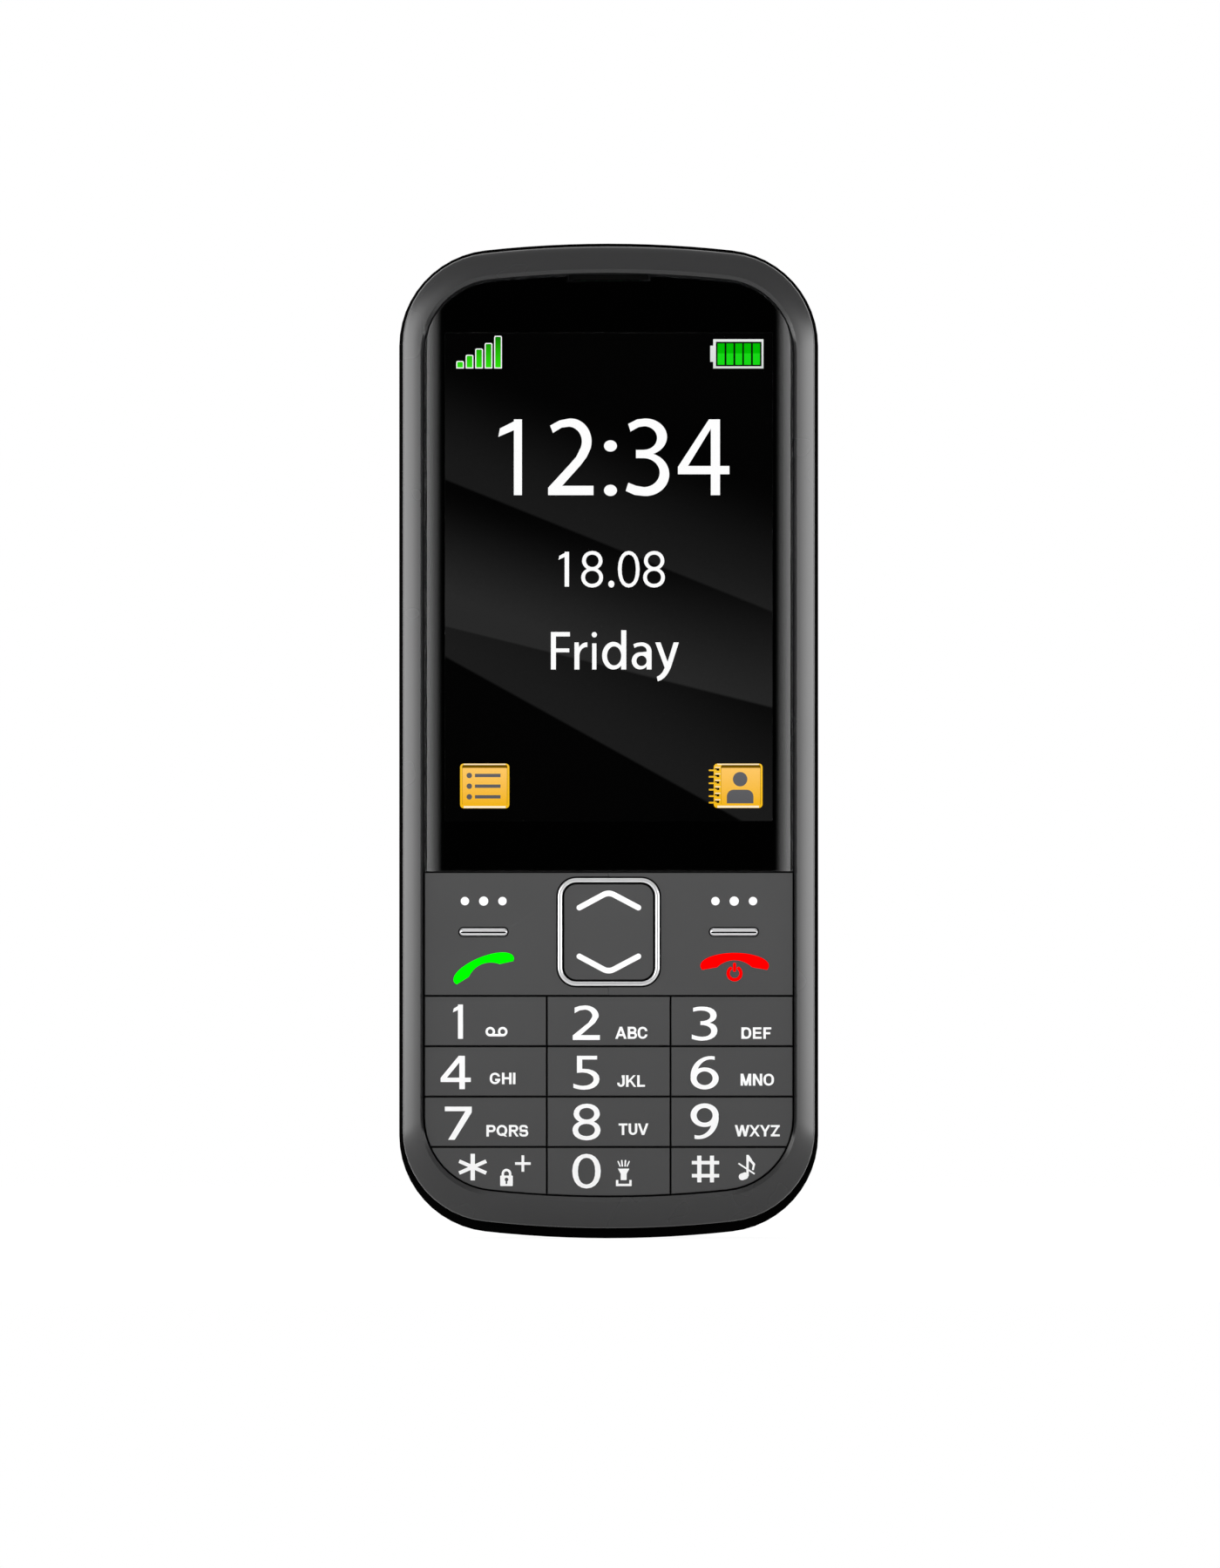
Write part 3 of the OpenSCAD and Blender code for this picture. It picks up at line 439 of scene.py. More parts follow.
# %% [markdown]
# ## Board, dust mesh and lamp
# The board has copper tracks under green lacquer, the dust meshes are woven cloth with dark holes, and
# the torch's lamp is a yellow phosphor chip. Tracks and threads are both rows of crossing lines, so a
# Brick texture, turned to face the front, draws them: its mortar is the track or the thread.

# %% Patterned finishes
FACING = (math.pi / 2, 0, 0)
TRACK = 9 * MM
THREAD = 0.5 * MM
PHOSPHOR = 0.2 * MM

board = new_finish("board_green", {"Roughness": 0.3})
tracks = {"Vector": board.place(1 / TRACK, FACING), "Scale": 3.0, "Mortar Size": 0.05,
          "Color1": (0.004, 0.06, 0.022, 1), "Color2": (0.006, 0.075, 0.03, 1),
          "Mortar": (0.02, 0.13, 0.05, 1)}
board.give("Base Color", board.add("ShaderNodeTexBrick", {"offset": 0.37}, tracks))
cloth = new_finish("dust_mesh", {"Roughness": 0.8, "Specular IOR Level": 0.02})
threads = {"Vector": cloth.place(1 / THREAD, FACING), "Scale": 1.0, "Mortar Size": 0.12, "Brick Width": 0.5,
           "Row Height": 0.5, "Color1": grey(0.0008), "Color2": grey(0.001), "Mortar": grey(0.003)}
cloth.give("Base Color", cloth.add("ShaderNodeTexBrick", {"offset": 0.0}, threads))
lamp = new_finish("led_yellow", {"Roughness": 0.4})
specks = lamp.noise(PHOSPHOR, FINE_DETAIL)
lamp.give("Base Color", lamp.mix(specks, (0.75, 0.6, 0.08, 1), (0.85, 0.75, 0.2, 1)))
finishes.update({"board_green": board, "dust_mesh": cloth, "led_yellow": lamp})
print("finishes:", len(finishes))

# %% [markdown]
# ## CAD parts in their finishes
# Every CAD part comes with material slots named after its finish. The parts could be dressed one by one,
# but their slots already say which finish is meant, so one loop exchanges them all and leaves the meshes
# alone.

# %% Every CAD part takes the finish of its slot
dressed_slots = set()
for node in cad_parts.values():
    for holder in node.material_slots:
        slot = holder.material.name.split(".")[0]
        dressed_slots.add(slot)
        holder.material = finishes[slot].material
print("slots dressed:", sorted(dressed_slots))

# %% [markdown]
# ## Parts taken over from the CAD
# The big covers and the keys have the right shape already, but a CAD mesh is loose triangles with
# knife-sharp edges. Modelling them anew would only lose their exact shape. So a copy is merged into one
# skin, its flat faces are joined, and the copy rides and is finished as the CAD part was.

# %% Copies of CAD parts
MERGE = 0.001 * MM
FLAT_ANGLE = math.radians(0.02)


def active(piece):
    deselect()
    piece.select_set(True)
    bpy.context.view_layer.objects.active = piece


def merged_copy(node, name):
    piece = bpy.data.objects.new(name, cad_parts[node].data.copy())
    bpy.context.scene.collection.objects.link(piece)
    active(piece)
    bpy.ops.mesh.customdata_custom_splitnormals_clear()
    bpy.ops.object.mode_set(mode="EDIT")
    bpy.ops.mesh.select_all(action="SELECT")
    bpy.ops.mesh.remove_doubles(threshold=MERGE)
    return piece


def dress(piece, body, finish):
    piece.data.materials.clear()
    piece.data.materials.append(finishes[finish].material)
    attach(piece, body)


def taken_over(node, name, body, finish):
    piece = merged_copy(node, name)
    bpy.ops.mesh.dissolve_limited(angle_limit=FLAT_ANGLE)
    bpy.ops.object.mode_set(mode="OBJECT")
    dress(piece, body, finish)
    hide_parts(node)
    return piece


print("copies can be made")

# %% [markdown]
# ## Smooth faces and round edges
# A real moulding has smooth faces and a small radius on every edge, and that radius draws the fine bright
# lines. Smooth shading alone would smear light over the flat faces, so sharp edges are kept and the large
# faces lead the normals. Edges on the front level of a key or the ring are picked by their place and
# bevelled.

# %% Smoothing and rounding
SMOOTH_ANGLE = math.radians(40)
SHARP = 0.5
ON_LEVEL = 0.005 * MM


def pick(piece, kind, wanted):
    bpy.ops.object.mode_set(mode="EDIT")
    bpy.ops.mesh.select_mode(type=kind)
    bpy.ops.mesh.select_all(action="DESELECT")
    mesh = bmesh.from_edit_mesh(piece.data)
    for item in {"VERT": mesh.verts, "EDGE": mesh.edges, "FACE": mesh.faces}[kind]:
        item.select_set(wanted(item))
    mesh.select_flush_mode()
    bmesh.update_edit_mesh(piece.data)


def round_edges(piece, level, width, segments):
    def on_front(edge):
        flat = all(abs(vertex.co.y - level) < ON_LEVEL for vertex in edge.verts)
        return flat and edge.calc_face_angle(0) > SHARP

    pick(piece, "EDGE", on_front)
    bpy.ops.mesh.bevel(offset=width, segments=segments, affect="EDGES", clamp_overlap=True)
    bpy.ops.object.mode_set(mode="OBJECT")


def smooth(piece):
    active(piece)
    bpy.ops.object.shade_smooth_by_angle(angle=SMOOTH_ANGLE)
    weights = piece.modifiers.new("flat faces lead", "WEIGHTED_NORMAL")
    weights.keep_sharp = True
    bpy.ops.object.modifier_apply(modifier=weights.name)


print("smoothing at", round(math.degrees(SMOOTH_ANGLE)), "degrees")

# %% [markdown]
# ## Covers, window and chrome bars
# These six parts make up most of what is seen: the grey front frame, the two halves of the black shell,
# the window and the two chrome bars. Their CAD shapes are right, so each is taken over and only smoothed.

# %% Covers
COVERS = (("front_bezel", "front_cover", "phone", "bezel_plastic"),
          ("rear_housing", "outer_shell", "phone", "shell_plastic"),
          ("battery_cover", "back_cover", "cover", "shell_plastic"),
          ("display_lens", "window_glass", "phone", "window"),
          ("left_trim_bar", "left_chrome_bar", "left_function", "chrome_trim"),
          ("right_trim_bar", "right_chrome_bar", "right_function", "chrome_trim"))
for node, name, body, finish in COVERS:
    piece = taken_over(node, name, body, finish)
    smooth(piece)
    print(name, len(piece.data.polygons), "faces")

# %% [markdown]
# ## The black rim
# From the front the shell is a thin, dull, black line round the frame. The pebbles stop before this rim,
# so its faces get a second finish. They could be cut off as a piece of their own, but on the real phone
# the rim is part of the shell.

# %% Second finishes
RIM_DEPTH = 0.7 * MM


def second_finish(piece, finish, wanted):
    piece.data.materials.append(finishes[finish].material)
    chosen = [face for face in piece.data.polygons if wanted(face.center)]
    for face in chosen:
        face.material_index = 1
    print(piece.name, len(chosen), "faces in", finish)


rim_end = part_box("rear_housing")[0].y + RIM_DEPTH
second_finish(bpy.data.objects["outer_shell"], "shell_rim", lambda spot: spot.y < rim_end)

# %% [markdown]
# ## The seal of the battery cover
# A thin foam strip lies on the rim of the lift-off cover and closes the seam, so that no light shines
# through it. It could be drawn as a curve, but the rim is there already: in a copy of the cover the flat
# face of the rim is inset, everything else is deleted, and the strip gets a thickness a little smaller
# than the seam.

# %% Seal of the battery cover
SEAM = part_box("rear_housing")[1].y
SEAM_REACH = 0.3 * MM
SEAL = 0.12 * MM
SEAL_INSET = 0.25 * MM
FACES_FRONT = -0.99


def thick(piece, height):
    active(piece)
    wall = piece.modifiers.new("thickness", "SOLIDIFY")
    wall.thickness = height
    wall.offset = 1
    bpy.ops.object.modifier_apply(modifier=wall.name)
    return piece


def on_rim(face):
    return face.normal.y < FACES_FRONT and 0 < face.calc_center_median().y - SEAM < SEAM_REACH


seal = merged_copy("battery_cover", "cover_seal")
pick(seal, "FACE", on_rim)
bpy.ops.mesh.inset(thickness=SEAL_INSET, use_boundary=True)
bpy.ops.mesh.select_all(action="INVERT")
bpy.ops.mesh.delete(type="FACE")
bpy.ops.object.mode_set(mode="OBJECT")
dress(thick(seal, SEAL), "cover", "tape")
print("seal", len(seal.data.polygons), "faces")

# %% [markdown]
# ## Keys
# Each key is a grey plastic cap. Below its rounded rim the sides are painted near black as painted shade, so
# the gaps between the keys look black. Next to the chrome, where the gap is wider, the painted shade starts
# higher up. The keys are taken over, their front edges are rounded, and the painted shade is a second finish
# behind that line.

# %% Keys with rounded rims
KEYS = ["key_" + sign for sign in ("1", "2", "3", "4", "5", "6", "7", "8", "9", "star", "0", "hash")]
CAPS = [(key, key + "_cap", key) for key in KEYS]
CAPS += [("left_function_key", "left_function_cap", "left_function"),
         ("right_function_key", "right_function_cap", "right_function"), ("nav_key", "nav_cap", "nav")]
KEY_ROUND = 0.1 * MM
KEY_STEPS = 3
SHADE_BELOW = 0.13 * MM
SHADE_BELOW_AT_TRIM = 0.03 * MM
NEAR = 0.3 * MM
TRIM_BOXES = [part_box(node) for node in ("nav_ring", "left_trim_bar", "right_trim_bar")]


def near_trim(spot):
    return any(low.x - NEAR < spot.x < high.x + NEAR and low.z - NEAR < spot.z < high.z + NEAR
               for low, high in TRIM_BOXES)


for node, name, body in CAPS:
    piece = taken_over(node, name, body, "key_plastic")
    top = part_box(node)[0].y
    round_edges(piece, top, KEY_ROUND, KEY_STEPS)
    smooth(piece)
    # key walls below the top get near-black painted shade, so the gaps look dark
    second_finish(piece, "key_skirt",
                  lambda spot: spot.y > top + (SHADE_BELOW_AT_TRIM if near_trim(spot) else SHADE_BELOW))
print("rounded", len(CAPS), "keys")

# %% [markdown]
# ## Grooves in the chrome bars
# A fine dark line runs along each chrome bar. Painting it on would leave the bar's highlight unbroken, so
# a thin block is subtracted with a Boolean, and the walls of the groove get the near-black painted shade of
# the key gaps.

# %% Grooves
GROOVE = 0.2 * MM
GROOVE_DROP = 0.06 * MM
GROOVE_REACH = 0.97
GROOVE_SIDE = 0.51 * GROOVE
GROOVE_FLOOR = 0.55 * GROOVE


def join(parts, operation="UNION"):
    first = parts[0]
    active(first)
    for other in parts[1:]:
        cut = first.modifiers.new("stroke", "BOOLEAN")
        cut.operation = operation
        cut.solver = "EXACT"
        cut.object = other
        bpy.ops.object.modifier_apply(modifier=cut.name)
    for other in parts[1:]:
        bpy.data.objects.remove(other)
    return first


for side in ("left", "right"):
    low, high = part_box(side + "_trim_bar")
    line = (low.z + high.z) / 2 - GROOVE_DROP
    deselect()
    bpy.ops.mesh.primitive_cube_add(size=1, location=((low.x + high.x) / 2, low.y, line))
    block = bpy.context.object
    block.scale = ((high.x - low.x) * GROOVE_REACH, GROOVE, GROOVE)
    settle()
    chrome_bar = join([bpy.data.objects[side + "_chrome_bar"], block], "DIFFERENCE")
    smooth(chrome_bar)
    # the groove's walls are painted near black as painted shade
    second_finish(chrome_bar, "key_skirt",
                  lambda spot: abs(spot.z - line) < GROOVE_SIDE and spot.y < low.y + GROOVE_FLOOR)
print("grooves", GROOVE / MM, "mm wide")

# %% [markdown]
# ## The chrome ring
# The ring round the navigation key has a soft, polished front edge, rounder than the keys. It is made as
# they are, with a wider bevel of more steps.

# %% Chrome ring
RING_ROUND = 0.2 * MM
RING_STEPS = 4

ring = taken_over("nav_ring", "nav_chrome_ring", "phone", "chrome_trim")
round_edges(ring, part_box("nav_ring")[0].y, RING_ROUND, RING_STEPS)
smooth(ring)
print("ring", len(ring.data.polygons), "faces")

# %% [markdown]
# ## Flat prints
# Numbers, letters and signs are ink a few hundredths of a millimetre thick. Painting them into the
# material would blur their edges. They are modelled lying on the ground, in millimetres from the middle
# of the phone's front, given their thickness, and stood up on the face that carries them. A print on a
# deeper face is further from the camera, so it is enlarged by that share.

# %% Standing prints up
INK = 0.03 * MM


def stand_up(piece, name, level, body, finish):
    active(piece)
    piece.name = name
    nearer = (level - camera.location.y) / (FRONT_EDGE - camera.location.y)
    piece.rotation_euler = (math.pi / 2, 0, 0)
    piece.scale = (nearer, nearer, 1)
    piece.location = (camera.location.x * (1 - nearer), level,
                      camera.location.z * (1 - nearer) + MIDDLE * nearer)
    settle()
    bpy.ops.object.mode_set(mode="EDIT")
    bpy.ops.mesh.select_all(action="SELECT")
    bpy.ops.mesh.normals_make_consistent(inside=False)
    bpy.ops.object.mode_set(mode="OBJECT")
    bpy.ops.object.shade_flat()
    dress(piece, body, finish)


print("ink", INK / MM, "mm thick")

# %% [markdown]
# The inks are lit from behind by the keypad lamps, so they glow a little besides catching the studio
# light. A slow noise keeps the coat from being perfectly even.

# %% Inks
COAT_SIZE = 0.6 * MM
THIN_COAT = 0.94
INKS = {"legend_print": ((0.88, 0.88, 0.88), 0.2),
        "call_print": ((0.0, 0.9, 0.0), 0.3),
        "end_print": ((0.9, 0.0, 0.0), 0.3)}


def ink(name, colour, strength):
    paint = new_finish(name, {"Roughness": 0.6, "Specular IOR Level": 0.0, "Emission Strength": strength})
    coat = paint.mix(paint.noise(COAT_SIZE), opaque(colour, THIN_COAT), opaque(colour))
    paint.give("Base Color", coat)
    paint.give("Emission Color", coat)
    return paint


finishes.update({name: ink(name, *row) for name, row in INKS.items()})
print("inks:", ", ".join(INKS))

# %% [markdown]
# ## Strokes
# The signs are drawn from strokes that any sign painter knows. A pill is a disc pulled apart, a plate has
# square or rounded corners, and a quad has four free corners. Curves would do as well, but a mesh can be
# cut and united with Booleans.

# %% Pill
SIDES = 24


def pill(start, end, width, height=INK, sides=SIDES):
    start = Vector((start[0], start[1], 0)) * MM
    run = Vector((end[0], end[1], 0)) * MM - start
    turn = math.atan2(run.y, run.x) + math.pi / sides
    deselect()
    bpy.ops.mesh.primitive_circle_add(vertices=sides, radius=width * MM / 2, fill_type="NGON",
                                      location=start, rotation=(0, 0, turn))
    piece = bpy.context.object
    settle()
    if run.length > 0:
        pick(piece, "VERT", lambda vertex: (vertex.co - start).dot(run) > 0)
        bpy.ops.transform.translate(value=run)
        bpy.ops.object.mode_set(mode="OBJECT")
    return thick(piece, height)


print("pills have", SIDES, "sides")

# %% [markdown]
# A plate starts as a plane that is sized and moved, and a bevel rounds its corners. A quad starts as a
# plane too, and its corners are picked and moved one by one.

# %% Plate and quad
CORNER_STEPS = 6
CORNER_REACH = 0.01


def plate(low, high, radius=0.0, height=INK):
    deselect()
    bpy.ops.mesh.primitive_plane_add(size=1)
    piece = bpy.context.object
    piece.location = ((low[0] + high[0]) / 2 * MM, (low[1] + high[1]) / 2 * MM, 0)
    piece.scale = ((high[0] - low[0]) * MM, (high[1] - low[1]) * MM, 1)
    settle()
    if radius > 0:
        bpy.ops.object.mode_set(mode="EDIT")
        bpy.ops.mesh.select_all(action="SELECT")
        bpy.ops.mesh.bevel(offset=radius * MM, segments=CORNER_STEPS, affect="VERTICES")
        bpy.ops.object.mode_set(mode="OBJECT")
    return thick(piece, height)


def quad(corners, height=INK):
    deselect()
    bpy.ops.mesh.primitive_plane_add(size=2)
    piece = bpy.context.object
    for x, y, corner in zip((-1, 1, 1, -1), (-1, -1, 1, 1), corners):
        pick(piece, "VERT", lambda vertex: (vertex.co - Vector((x, y, 0))).length < CORNER_REACH)
        bpy.ops.transform.translate(value=(corner[0] * MM - x, corner[1] * MM - y, 0))
        bpy.ops.object.mode_set(mode="OBJECT")
    return thick(piece, height)


print("round corners have", CORNER_STEPS, "steps")

# %% [markdown]
# An arc is a short line spun round a centre. It starts as a plane: half of it is deleted, and the edge
# that is left is spun. Without a window Spin turns clockwise for a positive angle, so the angle is
# negative here.

# %% Arc
ARC_STEP = 8
FEWEST_STEPS = 6


def face_up(piece):
    if piece.data.polygons[0].normal.z < 0:
        bpy.ops.object.mode_set(mode="EDIT")
        bpy.ops.mesh.select_all(action="SELECT")
        bpy.ops.mesh.flip_normals()
        bpy.ops.object.mode_set(mode="OBJECT")


def arc(centre, radius, width, start, sweep):
    deselect()
    bpy.ops.mesh.primitive_plane_add(size=width * MM, location=(radius * MM, 0, 0))
    piece = bpy.context.object
    settle()
    pick(piece, "VERT", lambda vertex: vertex.co.y > 0)
    bpy.ops.mesh.delete(type="VERT")
    bpy.ops.mesh.select_all(action="SELECT")
    bpy.ops.transform.translate(value=(0, width * MM / 2, 0))
    steps = max(FEWEST_STEPS, round(sweep / ARC_STEP))
    bpy.ops.mesh.spin(steps=steps, angle=-math.radians(sweep), center=(0, 0, 0), axis=(0, 0, 1))
    bpy.ops.mesh.select_all(action="SELECT")
    bpy.ops.mesh.remove_doubles(threshold=MERGE)
    bpy.ops.mesh.normals_make_consistent(inside=False)
    bpy.ops.object.mode_set(mode="OBJECT")
    piece.rotation_euler.z = math.radians(start)
    piece.location = (centre[0] * MM, centre[1] * MM, 0)
    settle()
    face_up(piece)
    return thick(piece, INK)


print("arc ready")

# %% [markdown]
# ## Drawn numbers and letters
# The keys' 2, 4, 6, 7 and 9, the clock's 2, 3 and 4 and five letters of the weekday have flatter feet and
# rounder ends than Blender's built-in font. They are drawn in the unit box of the sign, with y running
# down. A quad row holds its four corners, from the lower left one on. A ring row holds the centre and
# radii of a disc, those of the disc cut out of it, and two corners of the window that it is kept in. The
# 9 is the 6 turned upside down. Cutters are three times as thick as the ink and sunk by one, so that they
# cut through.

# %% Drawing a sign from quads and rings
DISC_SIDES = 64
CUTTER = 3 * INK


def sunk(piece):
    piece.location.z -= INK
    return piece


def drawn(rows, low, high, turned):
    wide = high[0] - low[0]
    tall = high[1] - low[1]

    def spot(x, y):
        if turned:
            x, y = 1 - x, 1 - y
        return (low[0] + x * wide, high[1] - y * tall)

    def disc(x, y, radius_x, radius_y, height):
        piece = pill((0, 0), (0, 0), 2, height, DISC_SIDES)
        piece.scale = (radius_x * wide, radius_y * tall, 1)
        piece.location = Vector(spot(x, y) + (0,)) * MM
        return piece

    parts = []
    for kind, *values in rows:
        if kind == "quad":
            parts.append(quad([spot(x, y) for x, y in zip(values[0::2], values[1::2])]))
        else:
            ends = [spot(*values[8:10]), spot(*values[10:12])]
            window = plate([min(pair) for pair in zip(*ends)], [max(pair) for pair in zip(*ends)], 0, CUTTER)
            loop = disc(*values[0:4], INK)
            settle()
            hole = sunk(disc(*values[4:8], CUTTER))
            settle()
            parts.append(join([join([loop, hole], "DIFFERENCE"), sunk(window)], "INTERSECT"))
    return join(parts)


print("signs can be drawn")

# %% [markdown]
# The other signs, such as 0, 3, 5 and 8, are plain enough for Blender's built-in font. Drawing them too
# would take many more strokes, so they are typed, made a mesh and fitted to the box they have on the
# phone.

# %% Signs from the font
FONT_STEPS = 5
FONT_MERGE = 0.0001


def text(sign, low, high, weight):
    deselect()
    bpy.ops.object.text_add()
    piece = bpy.context.object
    piece.data.body = sign
    piece.data.offset = weight
    piece.data.resolution_u = FONT_STEPS
    bpy.ops.object.convert(target="MESH")
    bpy.ops.object.mode_set(mode="EDIT")
    bpy.ops.mesh.select_all(action="SELECT")
    bpy.ops.mesh.remove_doubles(threshold=FONT_MERGE)
    bpy.ops.object.mode_set(mode="OBJECT")
    for axis in (0, 1):
        places = [vertex.co[axis] for vertex in piece.data.vertices]
        piece.scale[axis] = (high[axis] - low[axis]) * MM / (max(places) - min(places))
        piece.location[axis] = low[axis] * MM - min(places) * piece.scale[axis]
    settle()
    return thick(piece, INK)


print("font curves have", FONT_STEPS, "steps")

# %% [markdown]
# The font's 1 has serifs, so a post with a slanted flag takes its place. The flag's lines are shares of
# the sign's height. A word is a row of signs, each with its own box, joined as one piece.

# %% Words
FLAG_FOOT = 0.23
FLAG_HEAD = 0.12
FLAG_LEAN = 0.02


def one(low, high, stem):
    tall = high[1] - low[1]
    inner = high[0] - stem / 2
    flag = quad([(low[0], high[1] - FLAG_FOOT * tall), (inner, high[1] - FLAG_HEAD * tall), (inner, high[1]),
                 (low[0] + FLAG_LEAN * tall, high[1] - FLAG_HEAD * tall)])
    return join([plate((high[0] - stem, low[1]), high), flag])


def together(parts):
    deselect()
    for part in parts:
        part.select_set(True)
    bpy.context.view_layer.objects.active = parts[0]
    if len(parts) > 1:
        bpy.ops.object.join()
    return parts[0]


def word(signs, weight, stem, own):
    parts = []
    for sign, low, high in signs:
        if sign == "1":
            parts.append(one(low, high, stem))
        elif sign in own:
            parts.append(drawn(own[sign], low, high, sign == "9"))
        else:
            parts.append(text(sign, low, high, weight))
    return together(parts)


print("words can be set")

# %% [markdown]
# ## Numbers on the keys
# Large white numbers stand on the left of each key. Their boxes are in millimetres from the middle of the
# front. The 1 and five others are drawn, and the rest are fitted from the font.

# %% Numbers
NUMBER_WEIGHT = -0.007
NUMBER_STEM = 0.62
KEY_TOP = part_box("key_5")[0].y
DIGITS = {
    "2": (("ring", 0.45, 0.3, 0.505, 0.3, 0.43, 0.3, 0.29, 0.18, 0.43, -0.01, 1.01, 0.36),
          ("quad", 0.07, 0.225, 0.25, 0.145, 0.25, 0.017, 0.07, 0.065),
          ("quad", 0.25, 0.145, 0.46, 0.12, 0.46, 0, 0.25, 0.017),
          ("quad", 0.58, 0.5, 0.83, 0.5, 0.94, 0.35, 0.705, 0.35),
          ("quad", 0, 0.87, 0.28, 0.87, 0.83, 0.5, 0.58, 0.5),
          ("quad", 0, 1, 1, 1, 1, 0.86, 0, 0.86)),
    "4": (("quad", 0, 0.785, 1, 0.785, 1, 0.655, 0, 0.655), ("quad", 0.62, 1, 0.805, 1, 0.805, 0, 0.62, 0),
          ("quad", 0.6, 0.19, 0.8, 0.19, 0.8, 0, 0.6, 0),
          ("quad", 0, 0.66, 0.205, 0.66, 0.64, 0.18, 0.6, 0)),
    "6": (("ring", 0.72, 0.6, 0.72, 0.6, 0.72, 0.6, 0.51, 0.5, -0.01, -0.01, 0.86, 0.62),
          ("ring", 0.5, 0.67, 0.5, 0.33, 0.5, 0.665, 0.285, 0.205, -0.01, 0.3, 1.01, 1.01)),
    "7": (("quad", 0.02, 0.135, 0.8, 0.135, 0.8, 0, 0.02, 0), ("quad", 0.78, 0.13, 1, 0.17, 1, 0, 0.78, 0),
          ("quad", 0.14, 1, 0.38, 1, 1, 0.17, 0.78, 0.12))}
DIGITS["9"] = DIGITS["6"]
NUMBERS = {"1": ((-19.32, -36.97), (-18.08, -32.71)), "2": ((-4.46, -37.11), (-1.10, -32.82)),
           "3": ((10.31, -37.20), (13.49, -32.97)), "4": ((-20.85, -43.22), (-17.11, -39.08)),
           "5": ((-4.38, -43.29), (-1.14, -39.08)), "6": ((10.16, -43.25), (13.64, -39.11)),
           "7": ((-20.39, -49.50), (-16.99, -45.39)), "8": ((-4.49, -49.57), (-1.02, -45.02)),
           "9": ((10.16, -49.42), (13.64, -44.98)), "0": ((-4.52, -55.54), (-0.98, -51.24))}


def on_key(piece, name, key):
    stand_up(piece, name, KEY_TOP, key, "legend_print")


for number, (low, high) in NUMBERS.items():
    shape = word([(number, low, high)], NUMBER_WEIGHT, NUMBER_STEM, DIGITS)
    on_key(shape, "key_" + number + "_number", "key_" + number)
print("numbers", len(NUMBERS))

# %% [markdown]
# ## Letters on the keys
# The small capitals are bold and only 1.5 mm tall. The font, made that bold, closes up, so they are drawn
# from four strokes in the unit box of the letter, with y running up: a slab is an upright or slanting
# stem, a beam is level, a bowl is a rounded frame, and a cut takes a piece away.

# %% Strokes of a letter
STEM = 0.305
BEAM = 0.26
ROUND_SHARE = 0.49
LEAST_ROUND = 0.06


def letter(rows, low, high):
    wide = high[0] - low[0]
    tall = high[1] - low[1]
    piece = None
    for kind, x0, y0, x1, y1 in rows:
        near = (low[0] + x0 * wide, low[1] + y0 * tall)
        far = (low[0] + x1 * wide, low[1] + y1 * tall)
        if kind == "slab":
            ends = sorted([(near[1], near[0] - x0 * STEM), (far[1], far[0] - x1 * STEM)])
            (foot_y, foot), (head_y, head) = ends
            part = quad([(foot, foot_y), (foot + STEM, foot_y), (head + STEM, head_y), (head, head_y)])
        elif kind == "beam":
            row = low[1] + y0 * (tall - BEAM)
            part = plate((near[0], row), (far[0], row + BEAM))
        elif kind == "bowl":
            radius = ROUND_SHARE * min(far[0] - near[0], far[1] - near[1])
            hole = plate((near[0] + STEM, near[1] + BEAM), (far[0] - STEM, far[1] - BEAM),
                         max(radius - STEM, LEAST_ROUND), CUTTER)
            part = join([plate(near, far, radius), sunk(hole)], "DIFFERENCE")
        else:
            part = sunk(plate(near, far, 0, CUTTER))
        if piece is None:
            piece = part
        else:
            piece = join([piece, part], "DIFFERENCE" if kind == "cut" else "UNION")
    return piece


print("stem", STEM, "mm, beam", BEAM, "mm")

# %% [markdown]
# Each row below is one letter. The second table gives every key its word, the foot and head lines of that
# word, and the left and right side of each letter.

